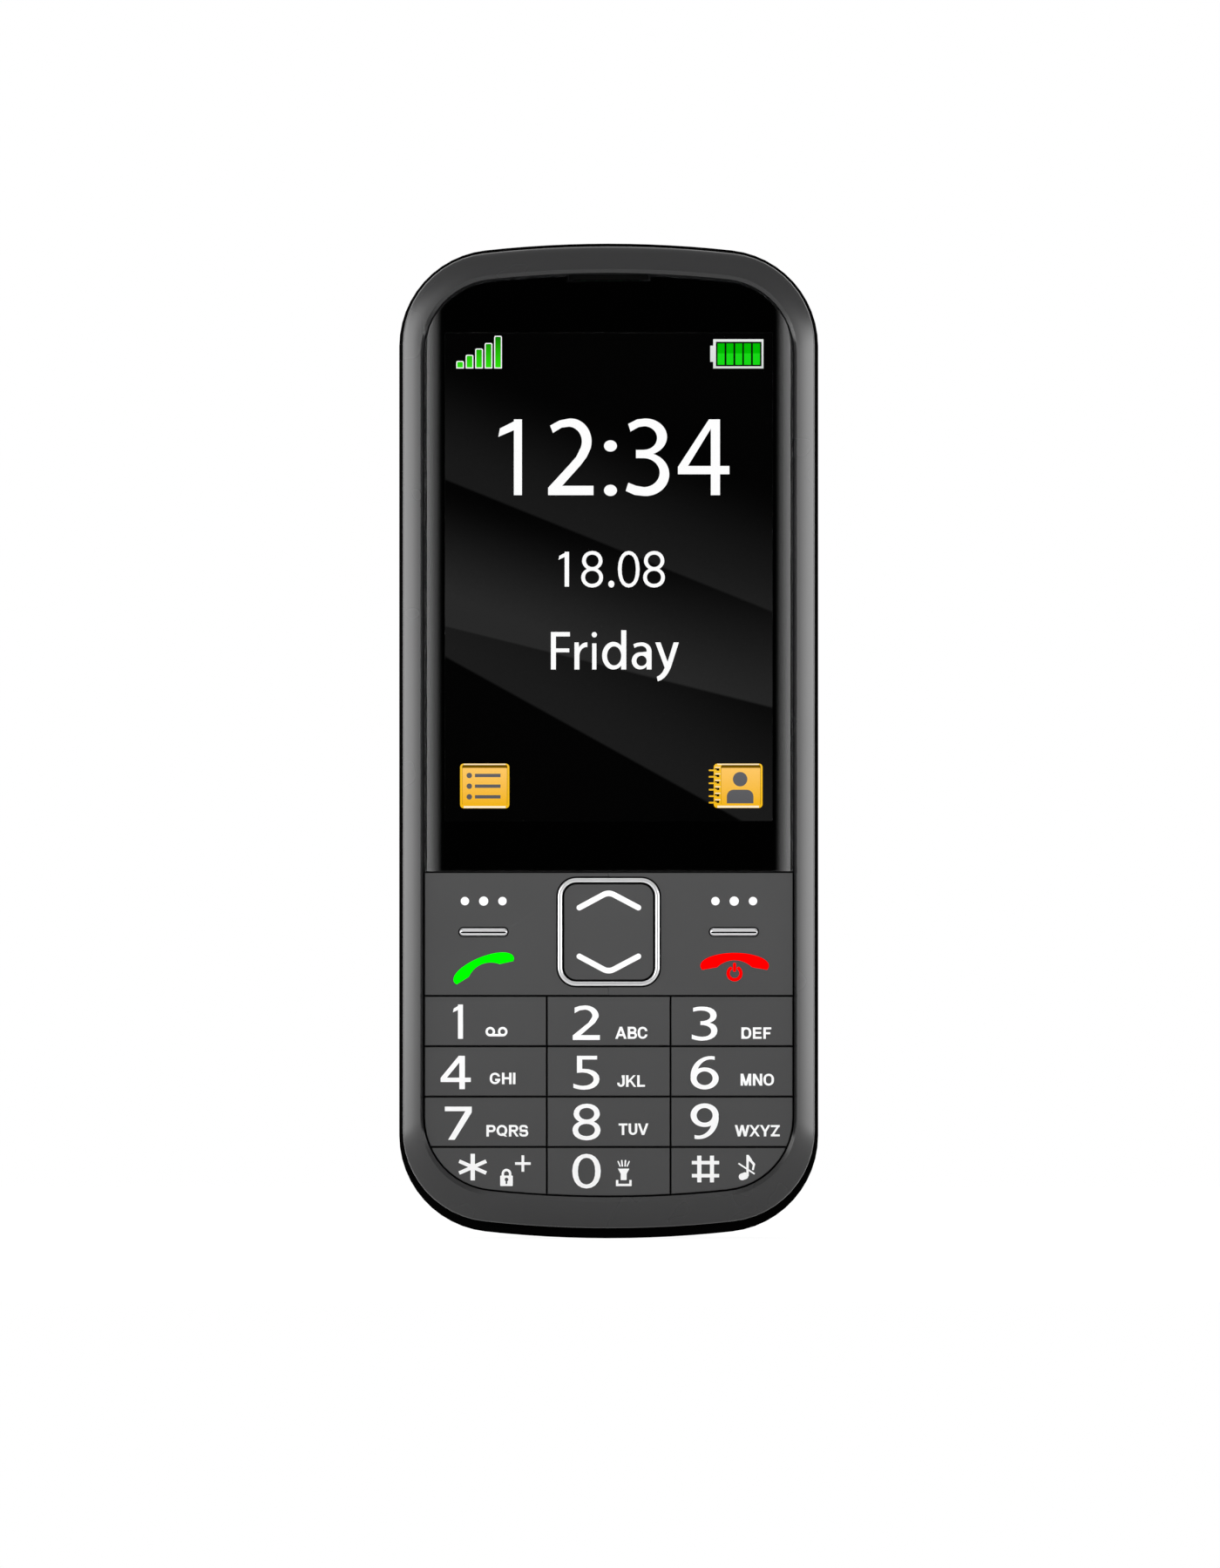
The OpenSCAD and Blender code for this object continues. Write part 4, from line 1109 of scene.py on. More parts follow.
# %% Letters
SHAPES = {
    "A": (("slab", 0, 0, 0.5, 1), ("slab", 1, 0, 0.5, 1), ("beam", 0.15, 0.27, 0.85, 0)),
    "B": (("bowl", 0, 0, 1, 0.57), ("bowl", 0, 0.43, 0.94, 1), ("slab", 0, 0, 0, 1), ("beam", 0, 0, 0.5, 0),
          ("beam", 0, 0.5, 0.5, 0), ("beam", 0, 1, 0.5, 0)),
    "C": (("bowl", 0, 0, 1, 1), ("cut", 0.6, 0.36, 1.1, 0.64)),
    "D": (("bowl", 0, 0, 1, 1), ("slab", 0, 0, 0, 1), ("beam", 0, 0, 0.5, 0), ("beam", 0, 1, 0.5, 0)),
    "E": (("slab", 0, 0, 0, 1), ("beam", 0, 0, 1, 0), ("beam", 0, 0.52, 0.93, 0), ("beam", 0, 1, 0.97, 0)),
    "F": (("slab", 0, 0, 0, 1), ("beam", 0, 0.48, 0.88, 0), ("beam", 0, 1, 1, 0)),
    "G": (("bowl", 0, 0, 1, 1), ("cut", 0.6, 0.4, 1.1, 0.66), ("beam", 0.52, 0.36, 1, 0)),
    "H": (("slab", 0, 0, 0, 1), ("slab", 1, 0, 1, 1), ("beam", 0, 0.52, 1, 0)),
    "I": (("slab", 0.5, 0, 0.5, 1),),
    "J": (("bowl", 0, 0, 1, 1), ("cut", -0.1, 0.36, 0.6, 1.1), ("slab", 1, 0.4, 1, 1)),
    "K": (("slab", 0, 0, 0, 1), ("slab", 0.05, 0.36, 0.93, 1), ("slab", 0.33, 0.6, 1, 0)),
    "L": (("slab", 0, 0, 0, 1), ("beam", 0, 0, 1, 0)),
    "M": (("slab", 0, 0, 0, 1), ("slab", 1, 0, 1, 1), ("slab", 0.04, 1, 0.5, 0), ("slab", 0.96, 1, 0.5, 0)),
    "N": (("slab", 0, 0, 0, 1), ("slab", 1, 0, 1, 1), ("slab", 0, 1, 1, 0)),
    "O": (("bowl", 0, 0, 1, 1),),
    "P": (("bowl", 0, 0.38, 1, 1), ("slab", 0, 0, 0, 1), ("beam", 0, 0.46, 0.5, 0), ("beam", 0, 1, 0.5, 0)),
    "Q": (("bowl", 0, 0.05, 1, 1), ("slab", 0.55, 0.3, 1, 0)),
    "R": (("bowl", 0, 0.41, 0.95, 1), ("slab", 0, 0, 0, 1), ("slab", 0.5, 0.46, 1, 0),
          ("beam", 0, 0.5, 0.5, 0), ("beam", 0, 1, 0.5, 0)),
    "S": (("bowl", 0, 0, 1, 0.58), ("cut", -0.1, 0.29, 0.5, 0.4), ("bowl", 0, 0.42, 0.96, 1),
          ("cut", 0.5, 0.6, 1.1, 0.71)),
    "T": (("slab", 0.5, 0, 0.5, 1), ("beam", 0, 1, 1, 0)),
    "U": (("bowl", 0, 0, 1, 1.5), ("cut", -0.1, 1, 1.1, 1.6)),
    "V": (("slab", 0, 1, 0.5, 0), ("slab", 1, 1, 0.5, 0)),
    "W": (("slab", 0, 1, 0.25, 0), ("slab", 0.5, 1, 0.25, 0), ("slab", 0.5, 1, 0.75, 0),
          ("slab", 1, 1, 0.75, 0)),
    "X": (("slab", 0, 0, 1, 1), ("slab", 0, 1, 1, 0)),
    "Y": (("slab", 0.5, 0, 0.5, 0.5), ("slab", 0, 1, 0.5, 0.4), ("slab", 1, 1, 0.5, 0.4)),
    "Z": (("beam", 0, 0, 1, 0), ("beam", 0, 1, 1, 0), ("slab", 0.02, 0.08, 0.98, 0.92))}
LETTERS = {"key_2": ("ABC", -36.97, -35.47, (0.81, 2.22), (2.36, 3.51), (3.6, 4.81)),
           "key_3": ("DEF", -36.97, -35.54, (16.46, 17.68), (17.89, 18.97), (19.19, 20.16)),
           "key_4": ("GHI", -42.6, -41.17, (-14.76, -13.46), (-13.24, -12.05), (-11.9, -11.54)),
           "key_5": ("JKL", -42.93, -41.49, (1.05, 1.99), (2.15, 3.42), (3.53, 4.5)),
           "key_6": ("MNO", -42.78, -41.3, (16.36, 17.68), (17.89, 19.05), (19.2, 20.5)),
           "key_7": ("PQRS", -49.1, -47.66, (-15.17, -14.03), (-13.91, -12.59), (-12.38, -11.17),
                     (-11.1, -9.98)),
           "key_8": ("TUV", -48.9, -47.47, (1.22, 2.34), (2.47, 3.55), (3.6, 4.93)),
           "key_9": ("WXYZ", -49.08, -47.67, (15.64, 17.47), (17.46, 18.75), (18.76, 20.05), (20.11, 21.22))}
for key, (signs, foot, head, *sides) in LETTERS.items():
    parts = [letter(SHAPES[sign], (side[0], foot), (side[1], head)) for sign, side in zip(signs, sides)]
    on_key(together(parts), key + "_letters", key)
print("letters on", len(LETTERS), "keys")

# %% [markdown]
# ## Star, hash and plus
# The bottom row carries a six-armed star, a hash and a small plus. They are crossing bars, united with a
# Boolean so that the ink is one skin and no two faces lie in the same place.

# %% Crossing bars
STAR = (-16.87, -52.89)
ARMS = ((0.0, 1.65, 0.54), (1.68, 0.74, 0.45), (1.68, -0.74, 0.45))
HASH_BARS = (((10.98, -54.78), (11.5, -51.47)), ((12.56, -54.78), (13.06, -51.47)),
             ((10.31, -52.55), (13.70, -52.12)), ((10.31, -54.17), (13.70, -53.74)))
PLUS_BARS = (((-11.62, -52.61), (-9.68, -52.28)), ((-10.82, -53.46), (-10.48, -51.43)))


def bar(start, end, width):
    run = Vector(end) - Vector(start)
    side = Vector((-run.y, run.x)).normalized() * width / 2
    return quad([Vector(start) - side, Vector(end) - side, Vector(end) + side, Vector(start) + side])


def plates(rows):
    return [plate(low, high) for low, high in rows]


star = join([bar((STAR[0] - x, STAR[1] - y), (STAR[0] + x, STAR[1] + y), width) for x, y, width in ARMS])
on_key(star, "key_star_sign", "key_star")
on_key(join(plates(HASH_BARS)), "key_hash_sign", "key_hash")
on_key(join(plates(PLUS_BARS)), "key_star_plus", "key_star")
print("star arms", len(ARMS), "hash bars", len(HASH_BARS))

# %% [markdown]
# ## Voicemail and key lock
# The voicemail sign on the 1 is a tape: two rings on a line. The lock beside the star is a plate with a
# shackle, and its keyhole is cut through, so that the key's own colour shows.

# %% Tape and lock
REELS = ((-14.69, -36.08), (-13.15, -36.08))
REEL_RADIUS = 0.45
REEL_LINE = 0.29
TAPE_ENDS = ((-14.69, -36.52), (-13.15, -36.52))
TAPE_WIDTH = 0.31
LOCK_LOW = (-13.46, -55.24)
LOCK_HIGH = (-11.9, -53.94)
LOCK_ROUND = 0.08
SHACKLE = (-12.68, -53.7)
SHACKLE_RADIUS = 0.45
SHACKLE_WIDTH = 0.3
LEGS = (((-13.28, -54.1), (-12.98, -53.7)), ((-12.38, -54.1), (-12.08, -53.7)))
KEYHOLE = (-12.68, -54.43)
KEYHOLE_SIZE = 0.46
SLIT = ((-12.78, -54.98), (-12.58, -54.43))

reels = [arc(reel, REEL_RADIUS, REEL_LINE, 0, 360) for reel in REELS]
on_key(join(reels + [pill(*TAPE_ENDS, TAPE_WIDTH)]), "key_1_voicemail", "key_1")
lock = [plate(LOCK_LOW, LOCK_HIGH, LOCK_ROUND), arc(SHACKLE, SHACKLE_RADIUS, SHACKLE_WIDTH, 0, 180)]
lock = join(lock + plates(LEGS))
keyhole = join([pill(KEYHOLE, KEYHOLE, KEYHOLE_SIZE, CUTTER), plate(*SLIT, 0, CUTTER)])
on_key(join([lock, sunk(keyhole)], "DIFFERENCE"), "key_star_lock", "key_star")
print("tape reels", len(REELS), "and a lock")

# %% [markdown]
# ## Torch and silent signs
# The 0 switches the torch: a cup with four rays over a tray. The hash silences the phone: a crossed-out
# note. The torch's rays, cup and tray don't touch, so each is a piece of its own.

# %% Torch and note
RAYS = (((1.17, -52.2), (1.41, -52.76), 0.17), ((1.62, -52.1), (1.69, -52.74), 0.19),
        ((2.08, -52.1), (2.03, -52.74), 0.19), ((2.54, -52.2), (2.3, -52.76), 0.17))
CUP = ((1.49, -53.72), (2.22, -53.72), (2.57, -53.08), (1.135, -53.08))
CUP_STEM = ((1.49, -54.5), (2.22, -53.7))
TRAY = (((0.9, -55.25), (1.19, -54.49)), ((0.9, -55.25), (2.84, -54.96)),
        ((2.55, -55.25), (2.84, -54.49)))
NOTE_HEAD = ((16.56, -54.09), (16.9, -53.97), 0.86)
NOTE_STEM = ((17.08, -54.0), (17.37, -51.38))
NOTE_FLAG = ((17.23, -51.55), (17.62, -52.1), 0.42)
NOTE_CURL = (((17.62, -52.1), (18.02, -52.55), 0.3), ((18.02, -52.55), (17.9, -53.15), 0.24))
CROSSED_OUT = ((16.1, -52.43), (18.1, -53.74), 0.2)

torch = [pill(*ray) for ray in RAYS] + [join([quad(CUP), plate(*CUP_STEM)]), join(plates(TRAY))]
for number, shape in enumerate(torch, 1):
    on_key(shape, "key_0_torch_%d" % number, "key_0")
note = [pill(*NOTE_HEAD), plate(*NOTE_STEM), bar(*NOTE_FLAG)] + [pill(*part) for part in NOTE_CURL]
on_key(join(note + [bar(*CROSSED_OUT)]), "key_hash_silent", "key_hash")
print("torch pieces", len(torch), "and a note")

# %% [markdown]
# ## Soft-key dots
# Three dots on the upper end of each function plate mark the soft keys. The one in the middle is a little
# larger. A pill of no length is a disc, so they need no shape of their own.

# %% Dots
PLATE_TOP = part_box("left_function_key")[0].y
DOTS_Y = -19.88
DOTS = ((-2.33, 1.05), (0, 1.15), (2.33, 1.05))
DOTS_MIDDLE = {"left": -15.51, "right": 15.57}


def on_plate(piece, name, body, finish="legend_print"):
    stand_up(piece, name, PLATE_TOP, body, finish)


for side, middle in DOTS_MIDDLE.items():
    for number, (shift, size) in enumerate(DOTS, 1):
        dot = pill((middle + shift, DOTS_Y), (middle + shift, DOTS_Y), size)
        on_plate(dot, "%s_soft_dot_%d" % (side, number), side + "_function")
print("dots", len(DOTS_MIDDLE) * len(DOTS))

# %% [markdown]
# ## Handsets and power sign
# The green handset takes a call, the red one ends it, and the red ring with a bar switches the phone off.
# A handset is a flat ellipse: a large disc hollows it from below, and two slanting cuts trim its ends. It
# is made once per sign, lying at the middle, then sized, turned and moved.

# %% Handsets
HANDSET = 8.5
HANDSET_FLAT = 1.6 / 4.25
HANDSET_SIDES = 96
HOLLOW = (0, -2.43)
HOLLOW_SIZE = 6.23
TRIMS = (((-5, -2.5), (-1.5, -2.5), (-1.5, -0.079), (-5, -0.681)),
         ((1.5, -2.5), (5, -2.5), (5, -0.681), (1.5, -0.079)))
CALL = ((-15.51, -28.32), 22.4, 0.945)
END = ((15.62, -27.9), 0, 1)


def handset(spot, turn, size):
    piece = pill((0, 0), (0, 0), HANDSET, INK, HANDSET_SIDES)
    piece.scale.y = HANDSET_FLAT
    cutters = [pill(HOLLOW, HOLLOW, HOLLOW_SIZE, CUTTER, DISC_SIDES)]
    cutters += [quad(trim, CUTTER) for trim in TRIMS]
    piece = join([piece] + [sunk(cutter) for cutter in cutters], "DIFFERENCE")
    settle()
    piece.scale = (size, size, 1)
    piece.rotation_euler.z = math.radians(turn)
    piece.location = (spot[0] * MM, spot[1] * MM, 0)
    settle()
    return piece


on_plate(handset(*CALL), "call_sign", "left_function", "call_print")
on_plate(handset(*END), "end_sign", "right_function", "end_print")
print("handsets", HANDSET, "mm long before sizing")

# %% [markdown]
# The power sign is an open ring with a bar in its gap. An arc ends squarely, so a dot rounds each end.

# %% Power sign
POWER = (15.61, -28.85)
POWER_RADIUS = 0.79
POWER_WIDTH = 0.4
POWER_ARC = (128, 284)
POWER_BAR = ((15.61, -28.47), (15.61, -27.72))
POWER_ENDS = ((15.12, -28.23), (16.1, -28.23))

power = [arc(POWER, POWER_RADIUS, POWER_WIDTH, *POWER_ARC), pill(*POWER_BAR, POWER_WIDTH)]
power += [pill(end, end, POWER_WIDTH) for end in POWER_ENDS]
on_plate(join(power), "power_sign", "right_function", "end_print")
print("power ring", POWER_ARC[1], "degrees")

# %% [markdown]
# ## Arrows of the navigation key
# Each arrow is a wide chevron with a rounded bend. Two pills alone would meet in a sharp corner, so an
# arc joins them. The lower arrow is the upper one upside down.

# %% Arrows
NAV_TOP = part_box("nav_key")[0].y
BEND = 1.35
SLOPE = 28.2
STROKE = 0.7
ARROW_ENDS = (-3.64, 3.68)
ARROWS = {"nav_up_sign": (-18.92, -20.69, 1), "nav_down_sign": (-28.51, -26.74, -1)}


def chevron(apex, end_y, way):
    bend_x = BEND * math.sin(math.radians(SLOPE))
    bend_y = apex - way * BEND * (1 - math.cos(math.radians(SLOPE)))
    first_angle = (90 if way > 0 else 270) - SLOPE
    return join([arc((0, apex - way * BEND), BEND, STROKE, first_angle, 2 * SLOPE),
                 pill((-bend_x, bend_y), (ARROW_ENDS[0], end_y), STROKE),
                 pill((bend_x, bend_y), (ARROW_ENDS[1], end_y), STROKE)])


for name, row in ARROWS.items():
    stand_up(chevron(*row), name, NAV_TOP, "nav", "legend_print")
print("arrows", len(ARROWS))

# %% [markdown]
# ## The web between the function keys
# Both function keys are moulded on one sheet of silicone rubber. Between them it rises as a thin web that
# closes the hairline above and below the ring. It is a narrow plate, given the height from the key guide
# almost to the key tops.

# %% Rubber web
WEB_HALF = 0.04
WEB_ROUND = 0.02
WEB_SINK = 0.02 * MM
RING_CLEAR = 0.22 * MM
ring_low, ring_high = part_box("nav_ring")
row_low, row_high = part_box("left_function_key")
web_height = ring_high.y - PLATE_TOP - WEB_SINK
WEBS = (("upper_web", ring_high.z + RING_CLEAR, row_high.z),
        ("lower_web", row_low.z, ring_low.z - RING_CLEAR))
for name, low, high in WEBS:
    web = plate((-WEB_HALF, (low - MIDDLE) / MM), (WEB_HALF, (high - MIDDLE) / MM), WEB_ROUND, web_height)
    stand_up(web, name, ring_high.y, "phone", "key_plastic")
print("web", round(web_height / MM, 2), "mm high")

# %% [markdown]
# ## The picture on the display
# A liquid-crystal panel is a thin lit sheet. It is modelled as a sheet with softened corners on top of
# the CAD panel, and its dark folded-paper pattern is mathematics on Object coordinates: each fold is a
# straight line with a sharp bright side that fades away. A row holds its slant in degrees, its height on
# the middle line, how far it fades, both in millimetres, and its brightness.

# %% Lit sheet
SCREEN_LOW = (-20.3, -9.92)
SCREEN_HIGH = (20.3, 50.57)
SCREEN_ROUND = 0.1
SHEET = 0.04 * MM
PANEL_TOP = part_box("display_panel")[0].y
FOLDS = ((-22, 24, 15, 0.45), (-14, 9, 17, 0.75), (-29, -1, 20, 0.5))
FOLD_EDGE = 0.4
FOLD_TONES = (0.0003, 0.022)
PIXEL_SIZE = 0.3 * MM
PIXEL_LEAST = 0.9
PIXEL_RANGE = 0.2


def glowing(name, strength):
    return new_finish(name, {"Base Color": grey(0.0), "Roughness": 0.5, "Specular IOR Level": 0.0,
                             "Emission Strength": strength})


def in_millimetres(paint, axis):
    return paint.part(paint.place(1 / MM, (0, 0, 0), (0, 0, -MIDDLE / MM)), axis)


picture = glowing("screen_image", 1.0)
point_x = in_millimetres(picture, "X")
point_z = in_millimetres(picture, "Z")
light = 0.0
for slant, rise, fade, level in FOLDS:
    lean = math.radians(slant)
    away = point_x * -math.sin(lean) + point_z * math.cos(lean) - rise * math.cos(lean)
    light = light + picture.step(away, 0.0, FOLD_EDGE) * (1 - picture.step(away, 0.0, fade)) * level
light = light * (PIXEL_LEAST + picture.noise(PIXEL_SIZE) * PIXEL_RANGE)
picture.give("Emission Color", picture.mix(light, *[grey(tone) for tone in FOLD_TONES]))
finishes["screen_image"] = picture
sheet = plate(SCREEN_LOW, SCREEN_HIGH, SCREEN_ROUND, SHEET)
stand_up(sheet, "display_picture", PANEL_TOP, "phone", "screen_image")
print("display", [round(high - low, 2) for low, high in zip(SCREEN_LOW, SCREEN_HIGH)], "mm")

# %% [markdown]
# ## Light inks
# What the display shows gives off its own light and has no gloss of its own. Many signs run from one
# colour at their foot to another at their head. A row holds both colours and the heights, in millimetres,
# between which one turns into the other. A fine noise stands for the display's dots.

# %% Light inks of the display
LIGHT = 1.08
DOT_SIZE = 0.25 * MM
DOT_SHARE = 0.03
LIGHTS = {
    "white_light": ((0.98, 0.98, 0.98), (1.0, 1.0, 1.0), -10, 50),
    "pale_light": ((0.66, 0.7, 0.68), (0.8, 0.83, 0.81), 46, 50.3),
    "green_light": ((0.03, 0.74, 0.004), (0.0, 0.15, 0.0), 46.2, 50.4),
    "cell_light": ((0.008, 0.68, 0.008), (0.0, 0.5, 0.0), 47.98, 48.08),
    "dark_light": ((0.001, 0.001, 0.001), (0.002, 0.002, 0.002), 46, 50),
    "amber_light": ((0.9, 0.46, 0.007), (1.0, 0.58, 0.13), -8.1, -3.4),
    "amber_edge": ((0.92, 0.5, 0.01), (0.95, 0.55, 0.03), -8.4, -2.8),
    "cream_light": ((1.0, 0.86, 0.6), (1.0, 0.8, 0.5), -8.4, -2.8),
    "brown_light": ((0.16, 0.08, 0.0), (0.14, 0.07, 0.0), -3.4, -2.8),
    "grey_light": ((0.1, 0.1, 0.105), (0.13, 0.13, 0.14), -8.4, -2.8)}


def light_ink(name, low_colour, high_colour, low, high):
    paint = glowing(name, LIGHT)
    rise = paint.step(in_millimetres(paint, "Z"), low, high, "LINEAR")
    share = rise + paint.noise(DOT_SIZE) * DOT_SHARE - DOT_SHARE / 2
    paint.give("Emission Color", paint.mix(share, opaque(low_colour), opaque(high_colour)))
    return paint


finishes.update({name: light_ink(name, *row) for name, row in LIGHTS.items()})
print("light inks:", len(LIGHTS))

# %% [markdown]
# ## Clock, date and weekday
# The display shows a large clock, a date and a weekday. Each is one piece: signs in their own boxes,
# joined. The clock's numbers are narrower than the keys', so 2, 3 and 4 are drawn again. So are the
# weekday's letters, all but the i.

# %% Drawn signs of the display
CLOCK_DIGITS = {
    "2": (("quad", 0.106, 0.188, 0.298, 0.119, 0.25, 0.025, 0.042, 0.093),
          ("quad", 0.298, 0.119, 0.47, 0.105, 0.47, 0, 0.25, 0.025),
          ("ring", 0.5, 0.3, 0.458, 0.3, 0.44, 0.3, 0.304, 0.195, 0.46, -0.01, 1.01, 0.4),
          ("quad", 0.62, 0.5, 0.853, 0.5, 0.932, 0.398, 0.702, 0.398),
          ("quad", 0.472, 0.6, 0.73, 0.6, 0.853, 0.5, 0.62, 0.5),
          ("quad", 0, 0.903, 0.3, 0.885, 0.73, 0.6, 0.472, 0.6),
          ("quad", 0, 1, 0.2, 1, 0.2, 0.86, 0, 0.903), ("quad", 0.15, 1, 1, 1, 1, 0.878, 0.15, 0.878)),
    "3": (("quad", 0.11, 0.169, 0.3, 0.11, 0.26, 0.012, 0.056, 0.07),
          ("quad", 0.3, 0.11, 0.44, 0.099, 0.44, 0, 0.26, 0.012),
          ("ring", 0.45, 0.236, 0.498, 0.236, 0.42, 0.251, 0.3, 0.152, 0.42, -0.01, 1.01, 0.46),
          ("quad", 0.236, 0.511, 0.5, 0.511, 0.5, 0.405, 0.236, 0.405),
          ("ring", 0.45, 0.72, 0.55, 0.28, 0.41, 0.698, 0.37, 0.187, 0.41, 0.44, 1.01, 1.01),
          ("quad", 0.2, 0.985, 0.43, 1, 0.43, 0.886, 0.24, 0.868),
          ("quad", 0, 0.933, 0.2, 0.985, 0.24, 0.868, 0.06, 0.828)),
    "4": (("quad", 0, 0.724, 0.2, 0.724, 0.2, 0.61, 0, 0.627),
          ("quad", 0, 0.627, 0.2, 0.61, 0.66, 0.1, 0.602, 0),
          ("quad", 0.19, 0.724, 1, 0.724, 1, 0.615, 0.19, 0.615),
          ("quad", 0.65, 0.09, 0.75, 0.09, 0.75, 0, 0.602, 0),
          ("quad", 0.639, 1, 0.817, 1, 0.817, 0, 0.639, 0))}
DAY_LETTERS = {
    "F": (("quad", 0.01, 1, 0.27, 1, 0.27, 0, 0.01, 0), ("quad", 0.01, 0.118, 1, 0.118, 1, 0, 0.01, 0),
          ("quad", 0.1, 0.541, 0.966, 0.541, 0.966, 0.438, 0.1, 0.438)),
    "r": (("quad", 0.015, 1, 0.392, 1, 0.392, 0.3, 0.015, 0.3),
          ("quad", 0.015, 0.4, 0.392, 0.4, 0.34, 0, 0.015, 0),
          ("ring", 0.95, 0.5, 0.75, 0.5, 0.95, 0.5, 0.558, 0.331, 0.34, -0.01, 1, 0.5)),
    "d": (("quad", 0.78, 1, 0.987, 1, 0.987, 0, 0.78, 0),
          ("ring", 0.46, 0.648, 0.46, 0.352, 0.49, 0.653, 0.29, 0.243, -0.01, 0.2, 0.88, 1.01)),
    "a": (("quad", 0.134, 0.205, 0.27, 0.155, 0.254, 0.019, 0.081, 0.068),
          ("quad", 0.27, 0.155, 0.45, 0.13, 0.45, 0, 0.254, 0.019),
          ("ring", 0.5, 0.33, 0.487, 0.33, 0.45, 0.3, 0.293, 0.17, 0.42, -0.01, 1.01, 0.33),
          ("quad", 0.743, 1, 0.987, 1, 0.987, 0.3, 0.743, 0.3),
          ("quad", 0.45, 0.49, 0.78, 0.483, 0.78, 0.338, 0.45, 0.365),
          ("ring", 0.42, 0.68, 0.42, 0.315, 0.487, 0.68, 0.256, 0.192, -0.01, 0.3, 0.85, 1.01)),
    "y": (("quad", 0.403, 0.647, 0.612, 0.647, 0.222, 0, 0, 0),
          ("quad", 0.444, 0.647, 0.655, 0.647, 1, 0, 0.78, 0),
          ("quad", 0.31, 0.757, 0.567, 0.757, 0.66, 0.64, 0.403, 0.64),
          ("quad", 0.4, 0.89, 0.49, 0.825, 0.567, 0.757, 0.31, 0.757),
          ("quad", 0.27, 0.952, 0.4, 0.89, 0.31, 0.757, 0.189, 0.833),
          ("quad", 0.106, 0.992, 0.27, 0.952, 0.189, 0.833, 0.064, 0.875))}
print("drawn:", ", ".join(CLOCK_DIGITS), "and", ", ".join(DAY_LETTERS))

# %% [markdown]
# The signs lie on the lit sheet. Where one covers another, as in the battery sign, each layer is one ink
# thickness nearer to the eye, so that no two faces lie in the same place.

# %% Clock, date and weekday
FACE = PANEL_TOP - SHEET
CLOCK = (("1", (-13.68, 30.49), (-10.76, 39.89)), ("2", (-7.51, 30.49), (-1.89, 40.0)),
         (":", (-0.59, 30.38), (1.03, 37.3)), ("3", (2.11, 30.38), (7.51, 40.0)),
         ("4", (8.59, 30.49), (14.97, 39.89)))
DATE = (("1", (-6.22, 19.14), (-4.92, 23.46)), ("8", (-3.41, 19.03), (-0.7, 23.57)),
        (".", (-0.05, 19.03), (0.7, 19.89)), ("0", (1.14, 19.03), (3.84, 23.57)),
        ("8", (4.27, 19.03), (6.97, 23.57)))
WEEKDAY = (("F", (-7.19, 8.86), (-4.81, 13.51)), ("r", (-4.27, 8.86), (-2.65, 12.22)),
           ("i", (-2.11, 8.86), (-1.46, 13.51)), ("d", (-0.81, 8.86), (2.22, 13.73)),
           ("a", (2.86, 8.86), (5.35, 12.22)), ("y", (5.78, 7.35), (8.7, 12.22)))
WORDS = (("clock_digits", CLOCK, -0.0155, 1.0, CLOCK_DIGITS), ("date_digits", DATE, -0.013, 0.54, {}),
         ("weekday_word", WEEKDAY, -0.008, 0.54, DAY_LETTERS))


def on_screen(piece, name, light_name, layer=0):
    stand_up(piece, name, FACE - layer * INK, "phone", light_name)


for name, signs, weight, stem, own in WORDS:
    on_screen(word(signs, weight, stem, own), name, "white_light")
print("words:", ", ".join(row[0] for row in WORDS))

# %% [markdown]
# ## Signal sign
# Five bars of growing height show the signal. Each is a white frame with a green filling on top. The
# heads are rounded and the feet square, so a rounded plate and a low square one are united.

# %% Signal bars
BAR_TOPS = (47.14, 47.90, 48.68, 49.37, 50.26)
BAR_FOOT = 46.21
BAR_SQUARE = 46.6
BAR_LEFT = -18.91
BAR_PITCH = 1.178
BAR_WIDTH = 0.95
BAR_FRAME = 0.12
BAR_ROUND = 0.2
FILL_ROUND = 0.1


def upright(left_side, inset, head, radius):
    low = (left_side + inset, BAR_FOOT + inset)
    right_side = left_side + BAR_WIDTH - inset
    return join([plate(low, (right_side, head - inset), radius), plate(low, (right_side, BAR_SQUARE))])


for number, head in enumerate(BAR_TOPS, 1):
    left_side = BAR_LEFT + (number - 1) * BAR_PITCH
    on_screen(upright(left_side, 0, head, BAR_ROUND), "signal_frame_%d" % number, "white_light")
    on_screen(upright(left_side, BAR_FRAME, head, FILL_ROUND), "signal_bar_%d" % number, "green_light", 1)
print("signal bars", len(BAR_TOPS))

# %% [markdown]
# ## Battery sign
# The battery is a pale frame with a nose, a dark inside and five green cells. The frame could be cut
# open, but on a lit display plates laid one over the other look the same and need no Boolean.

# %% Battery cells
BATTERY_FRAME = (((12.96, 46.21), (19.19, 49.84)), ((12.59, 47.03), (13.1, 49.03)))
BATTERY_INSIDE = ((13.3, 46.48), (18.96, 49.52))
CELL_SIDES = (13.5, 14.6, 15.7, 16.78, 17.88)
CELL_WIDTH = 0.87
CELL_ROWS = (46.67, 49.31)

on_screen(join(plates(BATTERY_FRAME)), "battery_frame", "pale_light")
on_screen(plate(*BATTERY_INSIDE), "battery_inside", "dark_light", 1)
for number, cell in enumerate(CELL_SIDES, 1):
    shape = plate((cell, CELL_ROWS[0]), (cell + CELL_WIDTH, CELL_ROWS[1]))
    on_screen(shape, "battery_cell_%d" % number, "cell_light", 2)
print("battery cells", len(CELL_SIDES))

# %% [markdown]
# ## Tiles of the menu signs
# The two signs over the soft keys are amber tiles: a rounded edge, a cream line along the head and the
# foot, a brown shade and the amber face. One function stacks these plates for both.

